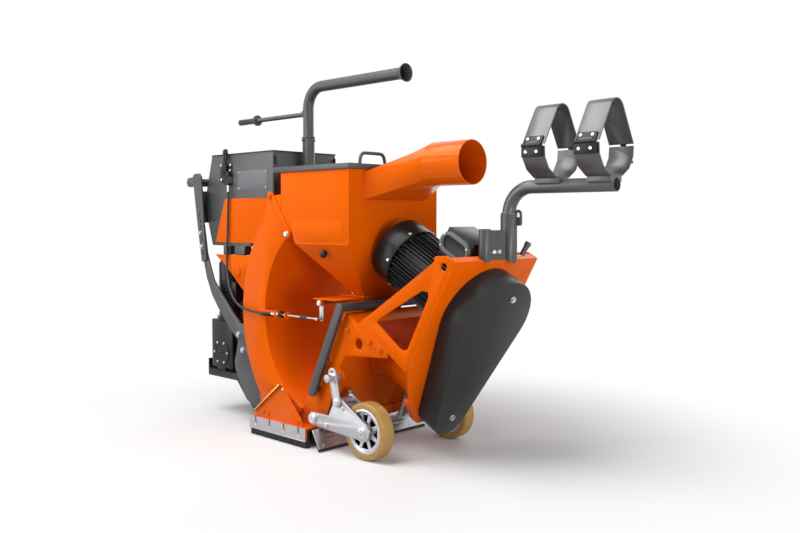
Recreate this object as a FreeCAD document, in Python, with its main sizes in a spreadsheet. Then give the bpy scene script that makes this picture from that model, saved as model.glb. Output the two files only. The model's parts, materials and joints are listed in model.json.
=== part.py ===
import FreeCAD, Part
# Walk-behind shot-blasting machine for concrete floors, in millimetres.
#
# +X points to the front (belt cover), +Y to the machine's far side, +Z up, floor at z = 0.
# Places along X are counted from the front wheels' axle, which lies datum_x ahead of the origin.
# The belt drive, motor and blast wheel stand square to a front plate that leans by plate_tilt:
# their own axes are n (out of the plate), y, and u (up along the plate from its top edge).
import math
import os
import Sketcher

SIZES = [
    # whole machine
    ("datum_x", 184),
    ("hopper_half", 225),
    ("frame_half", 216),
    ("skirt_half", 275),
    ("sheet", 4),
    ("plate", 8),
    ("gap", 0.3),
    ("fit", 0.05),
    # leaning front plate and belt drive
    ("plate_x", 389),
    ("plate_z", 688),
    ("plate_tilt", 29),
    ("flange_depth", 31),
    ("motor_drop", 195),
    ("wheel_drop", 574),
    ("cover_big", 166),
    ("cover_small", 75),
    ("cover_depth", 92),
    ("cover_wall", 3),
    ("shaft_hole", 26),
    ("motor_shaft", 19),
    ("spindle_shaft", 20),
    ("shaft_end", 80),
    ("motor_pulley", 118),
    ("spindle_pulley", 48),
    ("pulley_rear", 12),
    ("pulley_front", 72),
    ("belt_width", 13),
    ("belt_pitch", 19),
    ("belt_thick", 8),
    ("motor_core", 98),
    ("motor_fins", 115),
    ("motor_front", -22),
    ("motor_rear", -325),
    ("cowl_radius", 118),
    ("cowl_rear", -409),
    ("bearing_flange", 74),
    # blast wheel and its housing
    ("throat_front", -275),
    ("blast_radius", 142),
    ("blast_front", -287),
    ("blast_rear", -331),
    ("feed_radius", 30),
    ("base_low", 45),
    ("base_top", 105),
    ("base_rear", -592),
    ("base_front", -235),
    ("base_wall", 6),
    # curved return duct
    ("duct_x", -189),
    ("duct_z", 467),
    ("duct_inner", 372),
    ("duct_outer", 514),
    # hopper
    ("hopper_front", -83),
    ("hopper_rear", -457),
    ("hopper_top", 994),
    ("hopper_fold", 732),
    ("fold_rear", -377),
    ("outlet_rear", -195),
    ("outlet_front", -150),
    ("outlet_half", 92),
    ("outlet_z", 545),
    ("lid_top", 1014),
    ("lid_rear", -498),
    ("lid_front", -77),
    ("lid_overhang", 5),
    ("lid_pin_x", -491),
    ("lid_pin_z", 984),
    ("lid_pin", 5),
    # dust outlet
    ("dust_radius", 75),
    ("dust_z", 1010),
    ("dust_neck", 118),
    ("dust_end", 278),
    ("dust_wall", 3),
    # shot valve and its control
    ("valve_x", -240),
    ("valve_z", 522),
    ("valve_shaft", 7),
    ("valve_reach", 56),
    ("rod_radius", 3),
    ("rod_offset", 10),
    ("lever_x", -895),
    ("lever_z", 1012),
    ("lever_pin", 5),
    ("cable_radius", 4.5),
    # cable mast
    ("mast_x", -547),
    ("mast_y", -15),
    ("mast_radius", 21),
    ("mast_bore", 18),
    ("mast_socket", 24),
    ("mast_low", 912),
    ("mast_socket_top", 1139),
    ("mast_z", 1335),
    ("mast_bend", 80),
    ("mast_end", -12),
    ("mast_flare", 33),
    ("tiller_z", 1235),
    ("tiller_radius", 9),
    ("tiller_end", -1003),
    ("tiller_block", 22.5),
    ("tiller_grip", 12.5),
    # hose carrier
    ("carrier_x", 380),
    ("carrier_y", 64),
    ("carrier_radius", 22),
    ("carrier_bore", 19),
    ("carrier_socket", 27.5),
    ("carrier_top", 835),
    ("carrier_z", 925),
    ("carrier_bend", 90),
    ("carrier_end", 778),
    ("ring_low", 950.7),
    ("ring_split", 1044),
    ("ring_width", 84),
    ("ring_rear_x", 503),
    ("ring_front_x", 692),
    ("ring_hinge", 107),
    ("ring_hinge_z", 1047),
    ("ring_pin", 4),
    ("latch_z", 1032),
    ("latch_pin", 3),
    # front wheels and their forks
    ("wheel_radius", 100),
    ("wheel_half", 25),
    ("wheel_inset", 6),
    ("fork_half", 29),
    ("fork_plate", 6),
    ("link_plate", 7),
    ("rim_radius", 78),
    ("axle_radius", 10),
    ("pivot_x", -255),
    ("pivot_z", 107),
    ("pivot_radius", 10),
    ("lug_x", -121),
    ("lug_z", 186),
    ("lug_radius", 8),
    ("clamp_x", -140),
    ("clamp_z", 270),
    ("clamp_radius", 8),
    # control box and rear frame
    ("box_half", 160),
    ("arm_y", 178),
    ("arm_thick", 8),
    ("handle_x", -1126),
    ("handle_z", 978),
    ("handle_radius", 14),
    ("grip_radius", 17),
    # rear drive
    ("drive_x", -840),
    ("drive_half", 45),
    ("drive_axle", 12),
    ("gear_x", -950),
    ("gear_y", -105),
    ("gear_radius", 52),
    ("gear_z", 400),
    ("rail_low", 153),
    ("rail_top", 183),
]

doc = FreeCAD.newDocument("floor_blaster")
sheet_object = doc.addObject("Spreadsheet::Sheet", "dims")
base_x = {}
made = []


class Size:
    """A number together with the sheet formula that gives it."""

    def __init__(self, value, text=None):
        self.value = float(value)
        self.text = text if text else repr(round(float(value), 6))

    def mix(self, other, sign, value):
        return Size(value, "(%s %s %s)" % (self.text, sign, size(other).text))

    def __add__(self, other):
        return self.mix(other, "+", self.value + size(other).value)

    def __sub__(self, other):
        return self.mix(other, "-", self.value - size(other).value)

    def __mul__(self, other):
        return self.mix(other, "*", self.value * size(other).value)

    def __truediv__(self, other):
        return self.mix(other, "/", self.value / size(other).value)

    def __radd__(self, other):
        return size(other) + self

    def __rsub__(self, other):
        return size(other) - self

    def __rmul__(self, other):
        return size(other) * self

    def __neg__(self):
        return Size(-self.value, "(0 - %s)" % self.text)


def size(number):
    return number if isinstance(number, Size) else Size(number)


class Sheet:
    """The driving dimensions by name."""

    def __init__(self, rows):
        for row, (alias, number) in enumerate(rows, start=1):
            sheet_object.set("A%d" % row, alias)
            sheet_object.set("B%d" % row, repr(number))
            sheet_object.setAlias("B%d" % row, alias)
            setattr(self, alias, Size(number, "dims." + alias))
        doc.recompute()


d = Sheet(SIZES)
COS = Size(math.cos(math.radians(d.plate_tilt.value)), "cos(dims.plate_tilt)")
SIN = Size(math.sin(math.radians(d.plate_tilt.value)), "sin(dims.plate_tilt)")
LEAN = (0, 1, 0)


def from_plate(n, u):
    """The x and z of a place given in the leaning plate's n and u."""
    return d.plate_x + size(n) * COS + size(u) * SIN, d.plate_z - size(n) * SIN + size(u) * COS


def bind(thing, path, number):
    thing.setExpression(path, size(number).text)


def move_to(thing, x, y, z, turn=None):
    """Place a piece; turn is (axis, degrees)."""
    rotation = FreeCAD.Rotation()
    if turn:
        rotation = FreeCAD.Rotation(FreeCAD.Vector(*turn[0]), size(turn[1]).value)
    spot = FreeCAD.Vector(size(x).value, size(y).value, size(z).value)
    thing.Placement = FreeCAD.Placement(spot, rotation)
    for axis, number in zip("xyz", (x, y, z)):
        bind(thing, "Placement.Base." + axis, number)
    if turn and isinstance(turn[1], Size):
        bind(thing, "Placement.Rotation.Angle", turn[1])
    base_x[thing.Name] = size(x)
    return thing


# ---------------------------------------------------------------- primitives

TO_X = ((0, 1, 0), 90)
TO_Y = ((1, 0, 0), -90)


def box(name, low, high):
    """A block between two corners."""
    thing = doc.addObject("Part::Box", name)
    for side, start, end in zip(("Length", "Width", "Height"), low, high):
        bind(thing, side, size(end) - start)
    return move_to(thing, *low)


def bar(name, axis, radius, start, end, a, b):
    """A round bar along x, y or z from start to end; a and b are its other two places."""
    thing = doc.addObject("Part::Cylinder", name)
    bind(thing, "Radius", radius)
    bind(thing, "Height", size(end) - start)
    if axis == "x":
        return move_to(thing, start, a, b, TO_X)
    if axis == "y":
        return move_to(thing, a, start, b, TO_Y)
    return move_to(thing, a, b, start)


def leaning_bar(name, radius, start, end, u):
    """A round bar square to the leaning plate, from n = start to n = end."""
    thing = doc.addObject("Part::Cylinder", name)
    bind(thing, "Radius", radius)
    bind(thing, "Height", size(end) - start)
    x, z = from_plate(start, u)
    return move_to(thing, x, 0, z, (LEAN, d.plate_tilt + 90))


def cone(name, axis, first, last, start, end, a, b):
    """A round taper along x or z."""
    thing = doc.addObject("Part::Cone", name)
    bind(thing, "Radius1", first)
    bind(thing, "Radius2", last)
    bind(thing, "Height", size(end) - start)
    if axis == "x":
        return move_to(thing, start, a, b, TO_X)
    return move_to(thing, a, b, start)


def ball(name, radius, x, y, z):
    thing = doc.addObject("Part::Sphere", name)
    bind(thing, "Radius", radius)
    return move_to(thing, x, y, z)


def joined(name, *parts):
    thing = doc.addObject("Part::MultiFuse", name)
    thing.Shapes = list(parts)
    thing.Refine = True
    return thing


def less(name, base, *tools):
    """The base with every tool cut away."""
    thing = doc.addObject("Part::Cut", name)
    thing.Base = base
    thing.Tool = tools[0] if len(tools) == 1 else joined(name + "_tools", *tools)
    thing.Refine = True
    return thing


def pipe(name, axis, outer, inner, start, end, a, b):
    """A round tube, open at both ends."""
    return less(name, bar(name + "_outer", axis, outer, start, end, a, b),
                bar(name + "_inner", axis, inner, size(start) - 1, size(end) + 1, a, b))


def elbow_bar(name, radius, x, y, low, bend, z, end):
    """A round bar that stands at x, bends forward by a quarter turn and runs level to end."""
    curve = doc.addObject("Part::Torus", name + "_bend")
    bind(curve, "Radius1", bend)
    bind(curve, "Radius2", radius)
    curve.Angle3 = 90
    move_to(curve, x + bend, y, z - bend, ((0, 1, 1), 180))
    return joined(name, bar(name + "_up", "z", radius, low, z - bend, x, y), curve,
                  bar(name + "_level", "x", radius, x + bend, end, y, z))


def taper_block(name, low, low_box, high, high_box):
    """A four-sided taper: (x_low, x_high, y_half) at each of two heights."""
    thing = doc.addObject("Part::Wedge", name)
    bind(thing, "Ymin", low)
    bind(thing, "Ymax", high)
    for label, number in zip(("Xmin", "Xmax", "Zmax"), low_box):
        bind(thing, label, number)
    bind(thing, "Zmin", -size(low_box[2]))
    for label, number in zip(("X2min", "X2max", "Z2max"), high_box):
        bind(thing, label, number)
    bind(thing, "Z2min", -size(high_box[2]))
    return move_to(thing, 0, 0, 0, ((1, 0, 0), 90))


# ---------------------------------------------------------------- sketched bodies

def origin_part(body, role):
    return [part for part in body.Origin.OriginFeatures if part.Role == role][0]


def new_sketch(body, name, plane, lift):
    sketch = body.newObject("Sketcher::SketchObject", name)
    sketch.AttachmentSupport = [(origin_part(body, plane + "_Plane"), "")]
    sketch.MapMode = "FlatFace"
    lift = size(lift)
    sketch.AttachmentOffset = FreeCAD.Placement(FreeCAD.Vector(0, 0, lift.value), FreeCAD.Rotation())
    bind(sketch, "AttachmentOffset.Base.z", lift)
    return sketch


def rule(sketch, number, *words):
    """A driving constraint tied to its size."""
    number = size(number)
    index = sketch.addConstraint(Sketcher.Constraint(*words, number.value))
    bind(sketch, "Constraints[%d]" % index, number)


def pin_point(sketch, geometry, end, a, b):
    rule(sketch, a, "DistanceX", -1, 1, geometry, end)
    rule(sketch, b, "DistanceY", -1, 1, geometry, end)


def flat(a, b):
    return FreeCAD.Vector(size(a).value, size(b).value, 0)


def round_line(centre, radius):
    return Part.Circle(centre, FreeCAD.Vector(0, 0, 1), radius)


def arc_between(start, end, radius, left):
    """An arc from start to end, with its centre to the left or right of the way."""
    way = end - start
    rise = math.sqrt(radius ** 2 - way.Length ** 2 / 4) * (1 if left else -1)
    across = FreeCAD.Vector(-way.y, way.x, 0).normalize()
    centre = start + way * 0.5 + across * rise
    first = math.atan2(start.y - centre.y, start.x - centre.x)
    last = math.atan2(end.y - centre.y, end.x - centre.x)
    if left:
        return Part.ArcOfCircle(round_line(centre, radius), first, last), 1, 2
    return Part.ArcOfCircle(round_line(centre, radius), last, first), 2, 1


def draw(sketch, points):
    """A closed outline. A point is (a, b), or (a, b, radius, left) where an arc leaves it."""
    ends = []
    for index, point in enumerate(points):
        following = points[(index + 1) % len(points)]
        start, stop = flat(*point[:2]), flat(*following[:2])
        if len(point) > 2:
            shape, first, last = arc_between(start, stop, size(point[2]).value, point[3])
            number = sketch.addGeometry(shape, False)
            rule(sketch, point[2], "Radius", number)
        else:
            number = sketch.addGeometry(Part.LineSegment(start, stop), False)
            first, last = 1, 2
        ends.append((number, first, last))
    for index, (number, first, last) in enumerate(ends):
        after = ends[(index + 1) % len(ends)]
        sketch.addConstraint(Sketcher.Constraint("Coincident", number, last, after[0], after[1]))
        pin_point(sketch, number, first, *points[index][:2])


def draw_circle(sketch, a, b, radius):
    number = sketch.addGeometry(round_line(flat(a, b), size(radius).value), False)
    rule(sketch, radius, "Radius", number)
    pin_point(sketch, number, 3, a, b)


def draw_link(sketch, start, start_radius, end, end_radius):
    """Two discs of their own radii and the straight sides that touch both."""
    a, b = flat(*start), flat(*end)
    r1, r2 = size(start_radius).value, size(end_radius).value
    along = (b - a) / (b - a).Length
    side = FreeCAD.Vector(-along.y, along.x, 0)
    lean = (r1 - r2) / (b - a).Length
    left = along * lean + side * math.sqrt(1 - lean ** 2)
    right = along * lean - side * math.sqrt(1 - lean ** 2)
    turn_left = math.atan2(left.y, left.x)
    turn_right = math.atan2(right.y, right.x)
    shapes = [Part.LineSegment(a + right * r1, b + right * r2),
              Part.ArcOfCircle(round_line(b, r2), turn_right, turn_left),
              Part.LineSegment(b + left * r2, a + left * r1),
              Part.ArcOfCircle(round_line(a, r1), turn_left, turn_right)]
    numbers = [sketch.addGeometry(shape, False) for shape in shapes]
    for index, number in enumerate(numbers):
        sketch.addConstraint(Sketcher.Constraint("Tangent", number, 2, numbers[(index + 1) % 4], 1))
    rule(sketch, end_radius, "Radius", numbers[1])
    rule(sketch, start_radius, "Radius", numbers[3])
    pin_point(sketch, numbers[1], 3, *end)
    pin_point(sketch, numbers[3], 3, *start)


def pad_up(body, sketch, name, low, high):
    pad = body.newObject("PartDesign::Pad", name)
    pad.Profile = sketch
    bind(pad, "Length", size(high) - low)
    return pad


def slab(name, points, low, high, plane="XZ", holes=()):
    """A flat piece: an outline with round holes, padded between two places square to it."""
    body = doc.addObject("PartDesign::Body", name)
    sketch = new_sketch(body, name + "_sketch", plane, -size(high) if plane == "XZ" else low)
    draw(sketch, points)
    for hole in holes:
        draw_circle(sketch, *hole)
    pad_up(body, sketch, name + "_pad", low, high)
    return body


def link(name, start, start_radius, end, end_radius, low, high, plane="XZ", holes=()):
    """A flat link between two rounded ends."""
    body = doc.addObject("PartDesign::Body", name)
    sketch = new_sketch(body, name + "_sketch", plane, -size(high) if plane == "XZ" else low)
    draw_link(sketch, start, start_radius, end, end_radius)
    for hole in holes:
        draw_circle(sketch, *hole)
    pad_up(body, sketch, name + "_pad", low, high)
    return body


def turned(name, points):
    """A turned piece: an outline of (along, radius) swung about the X axis."""
    body = doc.addObject("PartDesign::Body", name)
    sketch = new_sketch(body, name + "_sketch", "XY", 0)
    draw(sketch, points)
    spin = body.newObject("PartDesign::Revolution", name + "_turn")
    spin.Profile = sketch
    spin.ReferenceAxis = (sketch, ["H_Axis"])
    spin.Angle = 360
    return body


def around(body, feature, count):
    """Repeat a feature about the body's own X axis."""
    doc.recompute()
    pattern = body.newObject("PartDesign::PolarPattern", feature.Name + "_ring")
    pattern.Originals = [feature]
    pattern.Axis = (origin_part(body, "X_Axis"), [""])
    pattern.Angle = 360
    bind(pattern, "Occurrences", count)
    body.Tip = pattern


def fins(body, name, count, half, inner, outer, low, high):
    """A ring of flat fins that stand out from the body's X axis."""
    sketch = new_sketch(body, name + "_sketch", "YZ", low)
    draw(sketch, [(-size(half), inner), (half, inner), (half, outer), (-size(half), outer)])
    around(body, pad_up(body, sketch, name, low, high), count)


def windows(body, name, count, points, low, high):
    """A ring of openings cut along the body's X axis."""
    sketch = new_sketch(body, name + "_sketch", "YZ", high)
    draw(sketch, points)
    cut = body.newObject("PartDesign::Pocket", name)
    cut.Profile = sketch
    bind(cut, "Length", size(high) - low)
    around(body, cut, count)


# ---------------------------------------------------------------- finishing

def finish(thing, label):
    """Name a piece that is drawn in place, count it from the origin and keep it for export."""
    thing.Label = label
    bind(thing, "Placement.Base.x", d.datum_x + base_x.get(thing.Name, 0))
    made.append(thing)


def finish_leaning(thing, label, u=0):
    """The same for a piece drawn square to the leaning plate, about the axis at u."""
    x, z = from_plate(0, u)
    move_to(thing, d.datum_x + x, 0, z, (LEAN, d.plate_tilt))
    thing.Label = label
    made.append(thing)


def finish_wheel(thing, label, x, y, z):
    """The same for a piece turned about X that stands on an axle along Y."""
    move_to(thing, d.datum_x + x, y, z, ((0, 0, 1), 90))
    thing.Label = label
    made.append(thing)


def both(inner, outer, side):
    """The low and high y of a piece between two distances from the middle, on one side."""
    if side < 0:
        return -size(outer), -size(inner)
    return size(inner), size(outer)


NEAR, FAR = -1, 1
SIDES = (("near", NEAR), ("far", FAR))
PLATE_IN = d.frame_half - d.plate
LID_HALF = d.hopper_half + d.lid_overhang
ROD_Y = -(d.hopper_half + d.rod_offset)
WHEEL_Y = d.frame_half - d.wheel_inset
FORK_INNER = (WHEEL_Y - d.fork_half - d.fork_plate, WHEEL_Y - d.fork_half)
FORK_OUTER = (WHEEL_Y + d.fork_half, WHEEL_Y + d.fork_half + d.fork_plate)
LINK_SIDES = (FORK_OUTER[1] + d.gap, FORK_OUTER[1] + d.gap + d.link_plate)


# ---------------------------------------------------------------- blast housing and duct

def blast_housing():
    """The slanted throw duct on its open floor base, with the side plates that carry the forks."""
    name = "blast_housing"
    outline = [(-107, 496), (94, 377), (90, 360), (-114, 346), (-142, 305), (-209, 128),
               (-235, 105), (-235, 75), (-377, 75), (-359, 104)]
    parts = []
    for label, side in SIDES:
        low, high = both(PLATE_IN, d.frame_half, side)
        parts.append(slab(name + "_side_" + label, outline, low, high, holes=[(-45, 394, 19)]))
        parts.append(link(name + "_lug_" + label, (d.clamp_x, d.clamp_z), 20, (-186, 282), 24, low, high))
    throat, foot = from_plate(d.throat_front, -409.6), from_plate(d.throat_front, -853.2)
    sheets = {"front": [throat, foot, (-274.1, 75), (-57, 466.9)],
              "back": [(-107, 496), (-359, 104), (-352.3, 99.7), (-100.3, 491.7)],
              "top": [(-107, 496), throat, (-54, 456.1), (-111, 489.1)]}
    for label, points in sheets.items():
        parts.append(slab(name + "_" + label, points, -PLATE_IN, PLATE_IN))
    wall = d.base_wall
    rim = box(name + "_rim", (d.base_rear, -d.hopper_half, d.base_top - wall),
              (-359, d.hopper_half, d.base_top))
    nose = box(name + "_nose", (-257, -PLATE_IN, d.base_top - wall), (d.base_front, PLATE_IN, d.base_top))
    ring = box(name + "_base", (d.base_rear, -d.frame_half, d.base_low),
               (d.base_front, d.frame_half, d.base_top - wall))
    mouth = box(name + "_mouth", (d.base_rear + wall, -PLATE_IN, 40), (-359, PLATE_IN, 110))
    inside = box(name + "_inside", (d.base_rear + wall, -PLATE_IN, 40),
                 (d.base_front - wall, PLATE_IN, d.base_top - wall))
    shell = less(name + "_shell", joined(name + "_box", rim, nose, ring), mouth, inside)
    whole = joined(name + "_whole", shell, *parts)
    whole = less(name, whole,
                 leaning_bar(name + "_spindle_hole", d.shaft_hole, -290, -265, -d.wheel_drop),
                 leaning_bar(name + "_feed_hole", d.feed_radius + d.gap, -360, -335, -d.wheel_drop))
    finish(whole, name)


def wear_liner():
    """Hard plates along both sides of the throw duct."""
    name = "wear_liner"
    outline = [(-112, 471), (-70, 447), (-270, 86), (-345, 106)]
    plates = []
    for label, side in SIDES:
        low, high = both(PLATE_IN - 5, PLATE_IN, side)
        plates.append(slab(name + "_" + label, outline, low, high))
    finish(joined(name, *plates), name)


def duct_outline(inset):
    """The curved duct's side view, drawn in by a wall's thickness where one is given."""
    base = d.base_top
    return [(-359 - inset * 1.2, base), (d.base_rear + inset, base),
            (-594 + inset, 150, d.duct_outer - inset, False),
            (-548 + inset, 832), (-540 + inset, 905 - inset), (d.hopper_rear, 914 - inset),
            (-396, 775 + inset, d.duct_inner + 0.5 + inset, True), (-343.6 - inset, 128)]


def rebound_plenum():
    """The curved duct that carries shot and dust from the floor back up to the hopper."""
    name = "rebound_plenum"
    wall = d.sheet
    half = d.hopper_half
    outer = slab(name + "_outer", duct_outline(size(0)), -half, half)
    inner = slab(name + "_inner", duct_outline(wall), -(half - wall), half - wall)
    finish(joined(name, less(name + "_shell", outer, inner), cable_bracket(name + "_bracket")), name)


def cable_bracket(name):
    """The arm that holds the end of the control cable, with a hole for the pull rod."""
    parts = [box(name + "_arm", (-590, -d.hopper_half - 4, 452), (-407, -d.hopper_half, 477))]
    for index, x in enumerate((-478, -418)):
        parts.append(box(name + "_stop_%d" % index, (x, ROD_Y - 10, 455), (x + 8, -d.hopper_half - 1, 476)))
    hole = bar(name + "_hole", "x", d.rod_radius + d.fit, -480, -400, ROD_Y, 466)
    return less(name, joined(name + "_parts", *parts), hole)


# ---------------------------------------------------------------- hopper

def hopper():
    """The shot hopper: a box over a four-sided funnel, open at the top."""
    name = "hopper"
    wall = d.sheet
    half = d.hopper_half
    front, rear, top, fold = d.hopper_front, d.hopper_rear, d.hopper_top, d.hopper_fold
    outer = slab(name + "_box", [(front, fold), (front, top), (rear, top), (rear, 914),
                                 (d.fold_rear, fold)],
                 -half, half)
    space = [(front - wall, fold), (front - wall, top + 1), (rear + wall, top + 1),
             (rear + wall, 915), (d.fold_rear + wall, fold)]
    inner = slab(name + "_space", space, wall - half, half - wall)
    funnel = taper_block(name + "_funnel", d.outlet_z, (d.outlet_rear, d.outlet_front, d.outlet_half),
                         fold, (d.fold_rear, front, half))
    throat = taper_block(name + "_throat", d.outlet_z,
                         (d.outlet_rear + wall, d.outlet_front - wall, d.outlet_half - wall),
                         fold, (d.fold_rear + wall, front - wall, half - wall))
    dust = box(name + "_dust", (front - 10, -150, 892), (front + 5, 150, 980))
    shot = box(name + "_shot", (-480, -200, 805), (-380, 200, 890))
    shell = less(name + "_shell", joined(name + "_solid", outer, funnel),
                 joined(name + "_air", inner, throat),
                 dust, shot)
    hinges = []
    pin, root = (d.lid_pin_x, d.lid_pin_z), (-461, d.lid_pin_z)
    for label, side in SIDES:
        low, high = both(150, 162, side)
        hinges.append(link(name + "_hinge_" + label, pin, 8, root, 8, low, high))
        low, high = both(160, 180, side)
        hinges.append(bar(name + "_pin_" + label, "y", d.lid_pin, low, high, d.lid_pin_x, d.lid_pin_z))
    finish(joined(name, shell, *hinges), name)


def hopper_straps():
    straps = []
    for label, side in SIDES:
        low, high = both(d.hopper_half, d.hopper_half + 6, side)
        straps.append(link("hopper_strap_" + label, (-515, 908), 17, (-417, 767), 17, low, high))
    finish(joined("hopper_straps", *straps), "hopper_straps")


def hopper_lid():
    """A shallow closed tray with a wide opening below, hung on two pins at the rear."""
    name = "hopper_lid"
    low = d.hopper_top + d.gap
    outer = box(name + "_outer", (d.lid_rear, -LID_HALF, low), (d.lid_front, LID_HALF, d.lid_top))
    inner = box(name + "_inner", (d.lid_rear + 3, -LID_HALF + 3, low + 3),
                (d.lid_front - 3, LID_HALF - 3, d.lid_top - 3))
    below = box(name + "_below", (-430, -200, low - 1), (-110, 200, low + 5))
    ears = []
    for label, side in SIDES:
        a, b = both(166, 174, side)
        ears.append(link(name + "_ear_" + label, (d.lid_pin_x, d.lid_pin_z), 9, (d.lid_pin_x + 8, 994), 9,
                         a, b,
                         holes=[(d.lid_pin_x, d.lid_pin_z, d.lid_pin + d.fit)]))
    trimmed = less(name + "_ears", joined(name + "_ear_pair", *ears),
                   box(name + "_trim", (-520, -200, low + 1), (-440, 200, 1020)))
    finish(joined(name, less(name + "_tray", outer, inner, below), trimmed), name)


def lid_handle():
    name = "lid_handle"
    x, top, radius = -95, 1052, 6
    near, far = -162, -39
    parts = [bar(name + "_across", "y", radius, near, far, x, top)]
    for index, y in enumerate((near, far)):
        parts.append(bar(name + "_leg_%d" % index, "z", radius, d.lid_top, top, x, y))
        parts.append(ball(name + "_bend_%d" % index, radius, x, y, top))
    finish(joined(name, *parts), name)


def dust_body(name, inset):
    """The duct's taper from a rectangle at the hopper to a circle, as one loft."""
    body = doc.addObject("PartDesign::Body", name)
    first = new_sketch(body, name + "_mouth", "YZ", d.hopper_front)
    wide = 157 - inset
    draw(first, [(wide, 888 + inset), (wide, 984 - inset), (-wide, 984 - inset), (-wide, 888 + inset)])
    last = new_sketch(body, name + "_neck", "YZ", d.dust_neck)
    radius = d.dust_radius - inset
    leg = radius * 0.70710678
    draw(last, [(leg, d.dust_z - leg, radius, True), (leg, d.dust_z + leg, radius, True),
                (-leg, d.dust_z + leg, radius, True), (-leg, d.dust_z - leg, radius, True)])
    loft = body.newObject("PartDesign::AdditiveLoft", name + "_loft")
    loft.Profile = first
    loft.Sections = [last]
    loft.Ruled = True
    return body


def dust_duct():
    name = "dust_duct"
    wall = d.dust_wall
    tube = bar(name + "_tube", "x", d.dust_radius, d.dust_neck, d.dust_end, 0, d.dust_z)
    bore = bar(name + "_bore", "x", d.dust_radius - wall, d.dust_neck, d.dust_end + 1, 0, d.dust_z)
    outer = joined(name + "_outer", dust_body(name + "_skin", size(0)), tube)
    inner = joined(name + "_inner", dust_body(name + "_air", wall), bore)
    finish(less(name, outer, inner), name)


# ---------------------------------------------------------------- shot feed and its control

def feed_pipe():
    """The valve box below the hopper and the pipe that feeds the blast wheel."""
    name = "feed_pipe"
    wall = 3
    case = box(name + "_case", (-262, -98, 445), (-146, 98, 540))
    flange = box(name + "_flange", (-266, -104, 540), (-136, 104, d.outlet_z))
    drop = bar(name + "_drop", "z", 32, 372, 446, -225, 0)
    stub = leaning_bar(name + "_stub", d.feed_radius, -415, -341, -d.wheel_drop)
    shelf = box(name + "_shelf", (-275, -226, 534), (-150, -97, 538))
    ear = box(name + "_ear", (-252, -226, 512), (-228, -220, 535))
    air = [box(name + "_case_air", (-262 + wall, -98 + wall, 445 + wall), (-146 - wall, 98 - wall, 541)),
           box(name + "_outlet", (d.outlet_rear + d.sheet, -88, 539), (d.outlet_front - d.sheet, 88, 546)),
           bar(name + "_drop_air", "z", 29, 380, 450, -225, 0),
           leaning_bar(name + "_stub_air", d.feed_radius - wall, -410, -340, -d.wheel_drop),
           bar(name + "_shaft_hole", "y", d.valve_shaft + d.fit, -230, 110, d.valve_x, d.valve_z)]
    finish(less(name, joined(name + "_solid", case, flange, drop, stub, shelf, ear), *air), name)


def valve_flap():
    """The shutter on its cross shaft."""
    name = "valve_flap"
    shaft = bar(name + "_shaft", "y", d.valve_shaft, -229, 101, d.valve_x, d.valve_z)
    flap = box(name + "_plate", (d.valve_x, -91, d.valve_z - 2), (-153, 91, d.valve_z + 2))
    finish(joined(name, shaft, flap), name)


def valve_arm():
    """The arm on the shaft's end, slotted for the pull rod's pin."""
    name = "valve_arm"
    low, high = -216, -210
    foot = d.valve_z - d.valve_reach
    body = link(name + "_plate", (d.valve_x, d.valve_z), 11.5, (d.valve_x, foot), 10, low, high,
                holes=[(d.valve_x, d.valve_z, d.valve_shaft)])
    slot = link(name + "_slot", (d.valve_x, foot + 2), 4.4, (d.valve_x, foot - 4), 4.4, low - 1, high + 1)
    finish(less(name, body, slot), name)


def cable_rod():
    name = "cable_rod"
    z = d.valve_z - d.valve_reach
    rod = bar(name + "_rod", "x", d.rod_radius, -450, d.valve_x, ROD_Y, z)
    knob = bar(name + "_knob", "x", 7, -330, -300, ROD_Y, z)
    pin = bar(name + "_pin", "y", 4, ROD_Y - 5, -205, d.valve_x, z)
    finish(joined(name, rod, knob, pin), name)


def lever_plate():
    """The plate on the control box that carries the shot lever and the cable's upper end."""
    name = "lever_plate"
    base = slab(name + "_base", [(-937, 976), (-937, 1050), (-858, 1050), (-858, 960), (-892, 960)], -164,
                -d.box_half)
    pivot = bar(name + "_pivot", "y", d.lever_pin, -182, -163, d.lever_x, d.lever_z)
    collar = bar(name + "_collar", "y", 10, -170, -163, d.lever_x, d.lever_z)
    stop = less(name + "_stop", box(name + "_block", (-880, -180, 960), (-860, -163, 968)),
                bar(name + "_wire", "z", 2, 950, 975, -870, -172))
    screws = []
    for index, (x, z) in enumerate(((-930, 1042), (-866, 1042), (-930, 984), (-870, 1020))):
        screws.append(bar(name + "_screw_%d" % index, "y", 4, -167, -163, x, z))
    finish(joined(name, base, pivot, collar, stop, *screws), name)


def control_lever():
    name = "control_lever"
    low, high = -178, -170.3
    pivot = (d.lever_x, d.lever_z)
    hand = link(name + "_hand", pivot, 13, (-885, 1097), 7, low, high)
    foot = link(name + "_foot", pivot, 13, (-866, 1002), 6, low, high)
    hole = bar(name + "_hole", "y", d.lever_pin + d.fit, -190, -160, *pivot)
    finish(less(name, joined(name + "_plates", hand, foot), hole), name)


CABLE_ROUTE = [(-870, -172, 959.7), (-871, -171, 912), (-874, -172, 852), (-878, -171, 792),
               (-882, -172, 732), (-882, -175, 672), (-870, -183, 614), (-838, -199, 560),
               (-790, -216, 515), (-734, -230, 486), (-676, -238, 471), (-617, -237, 464),
               (-556, -236, 463), (-510, -235, 465), (-478.3, -235, 466)]


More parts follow.
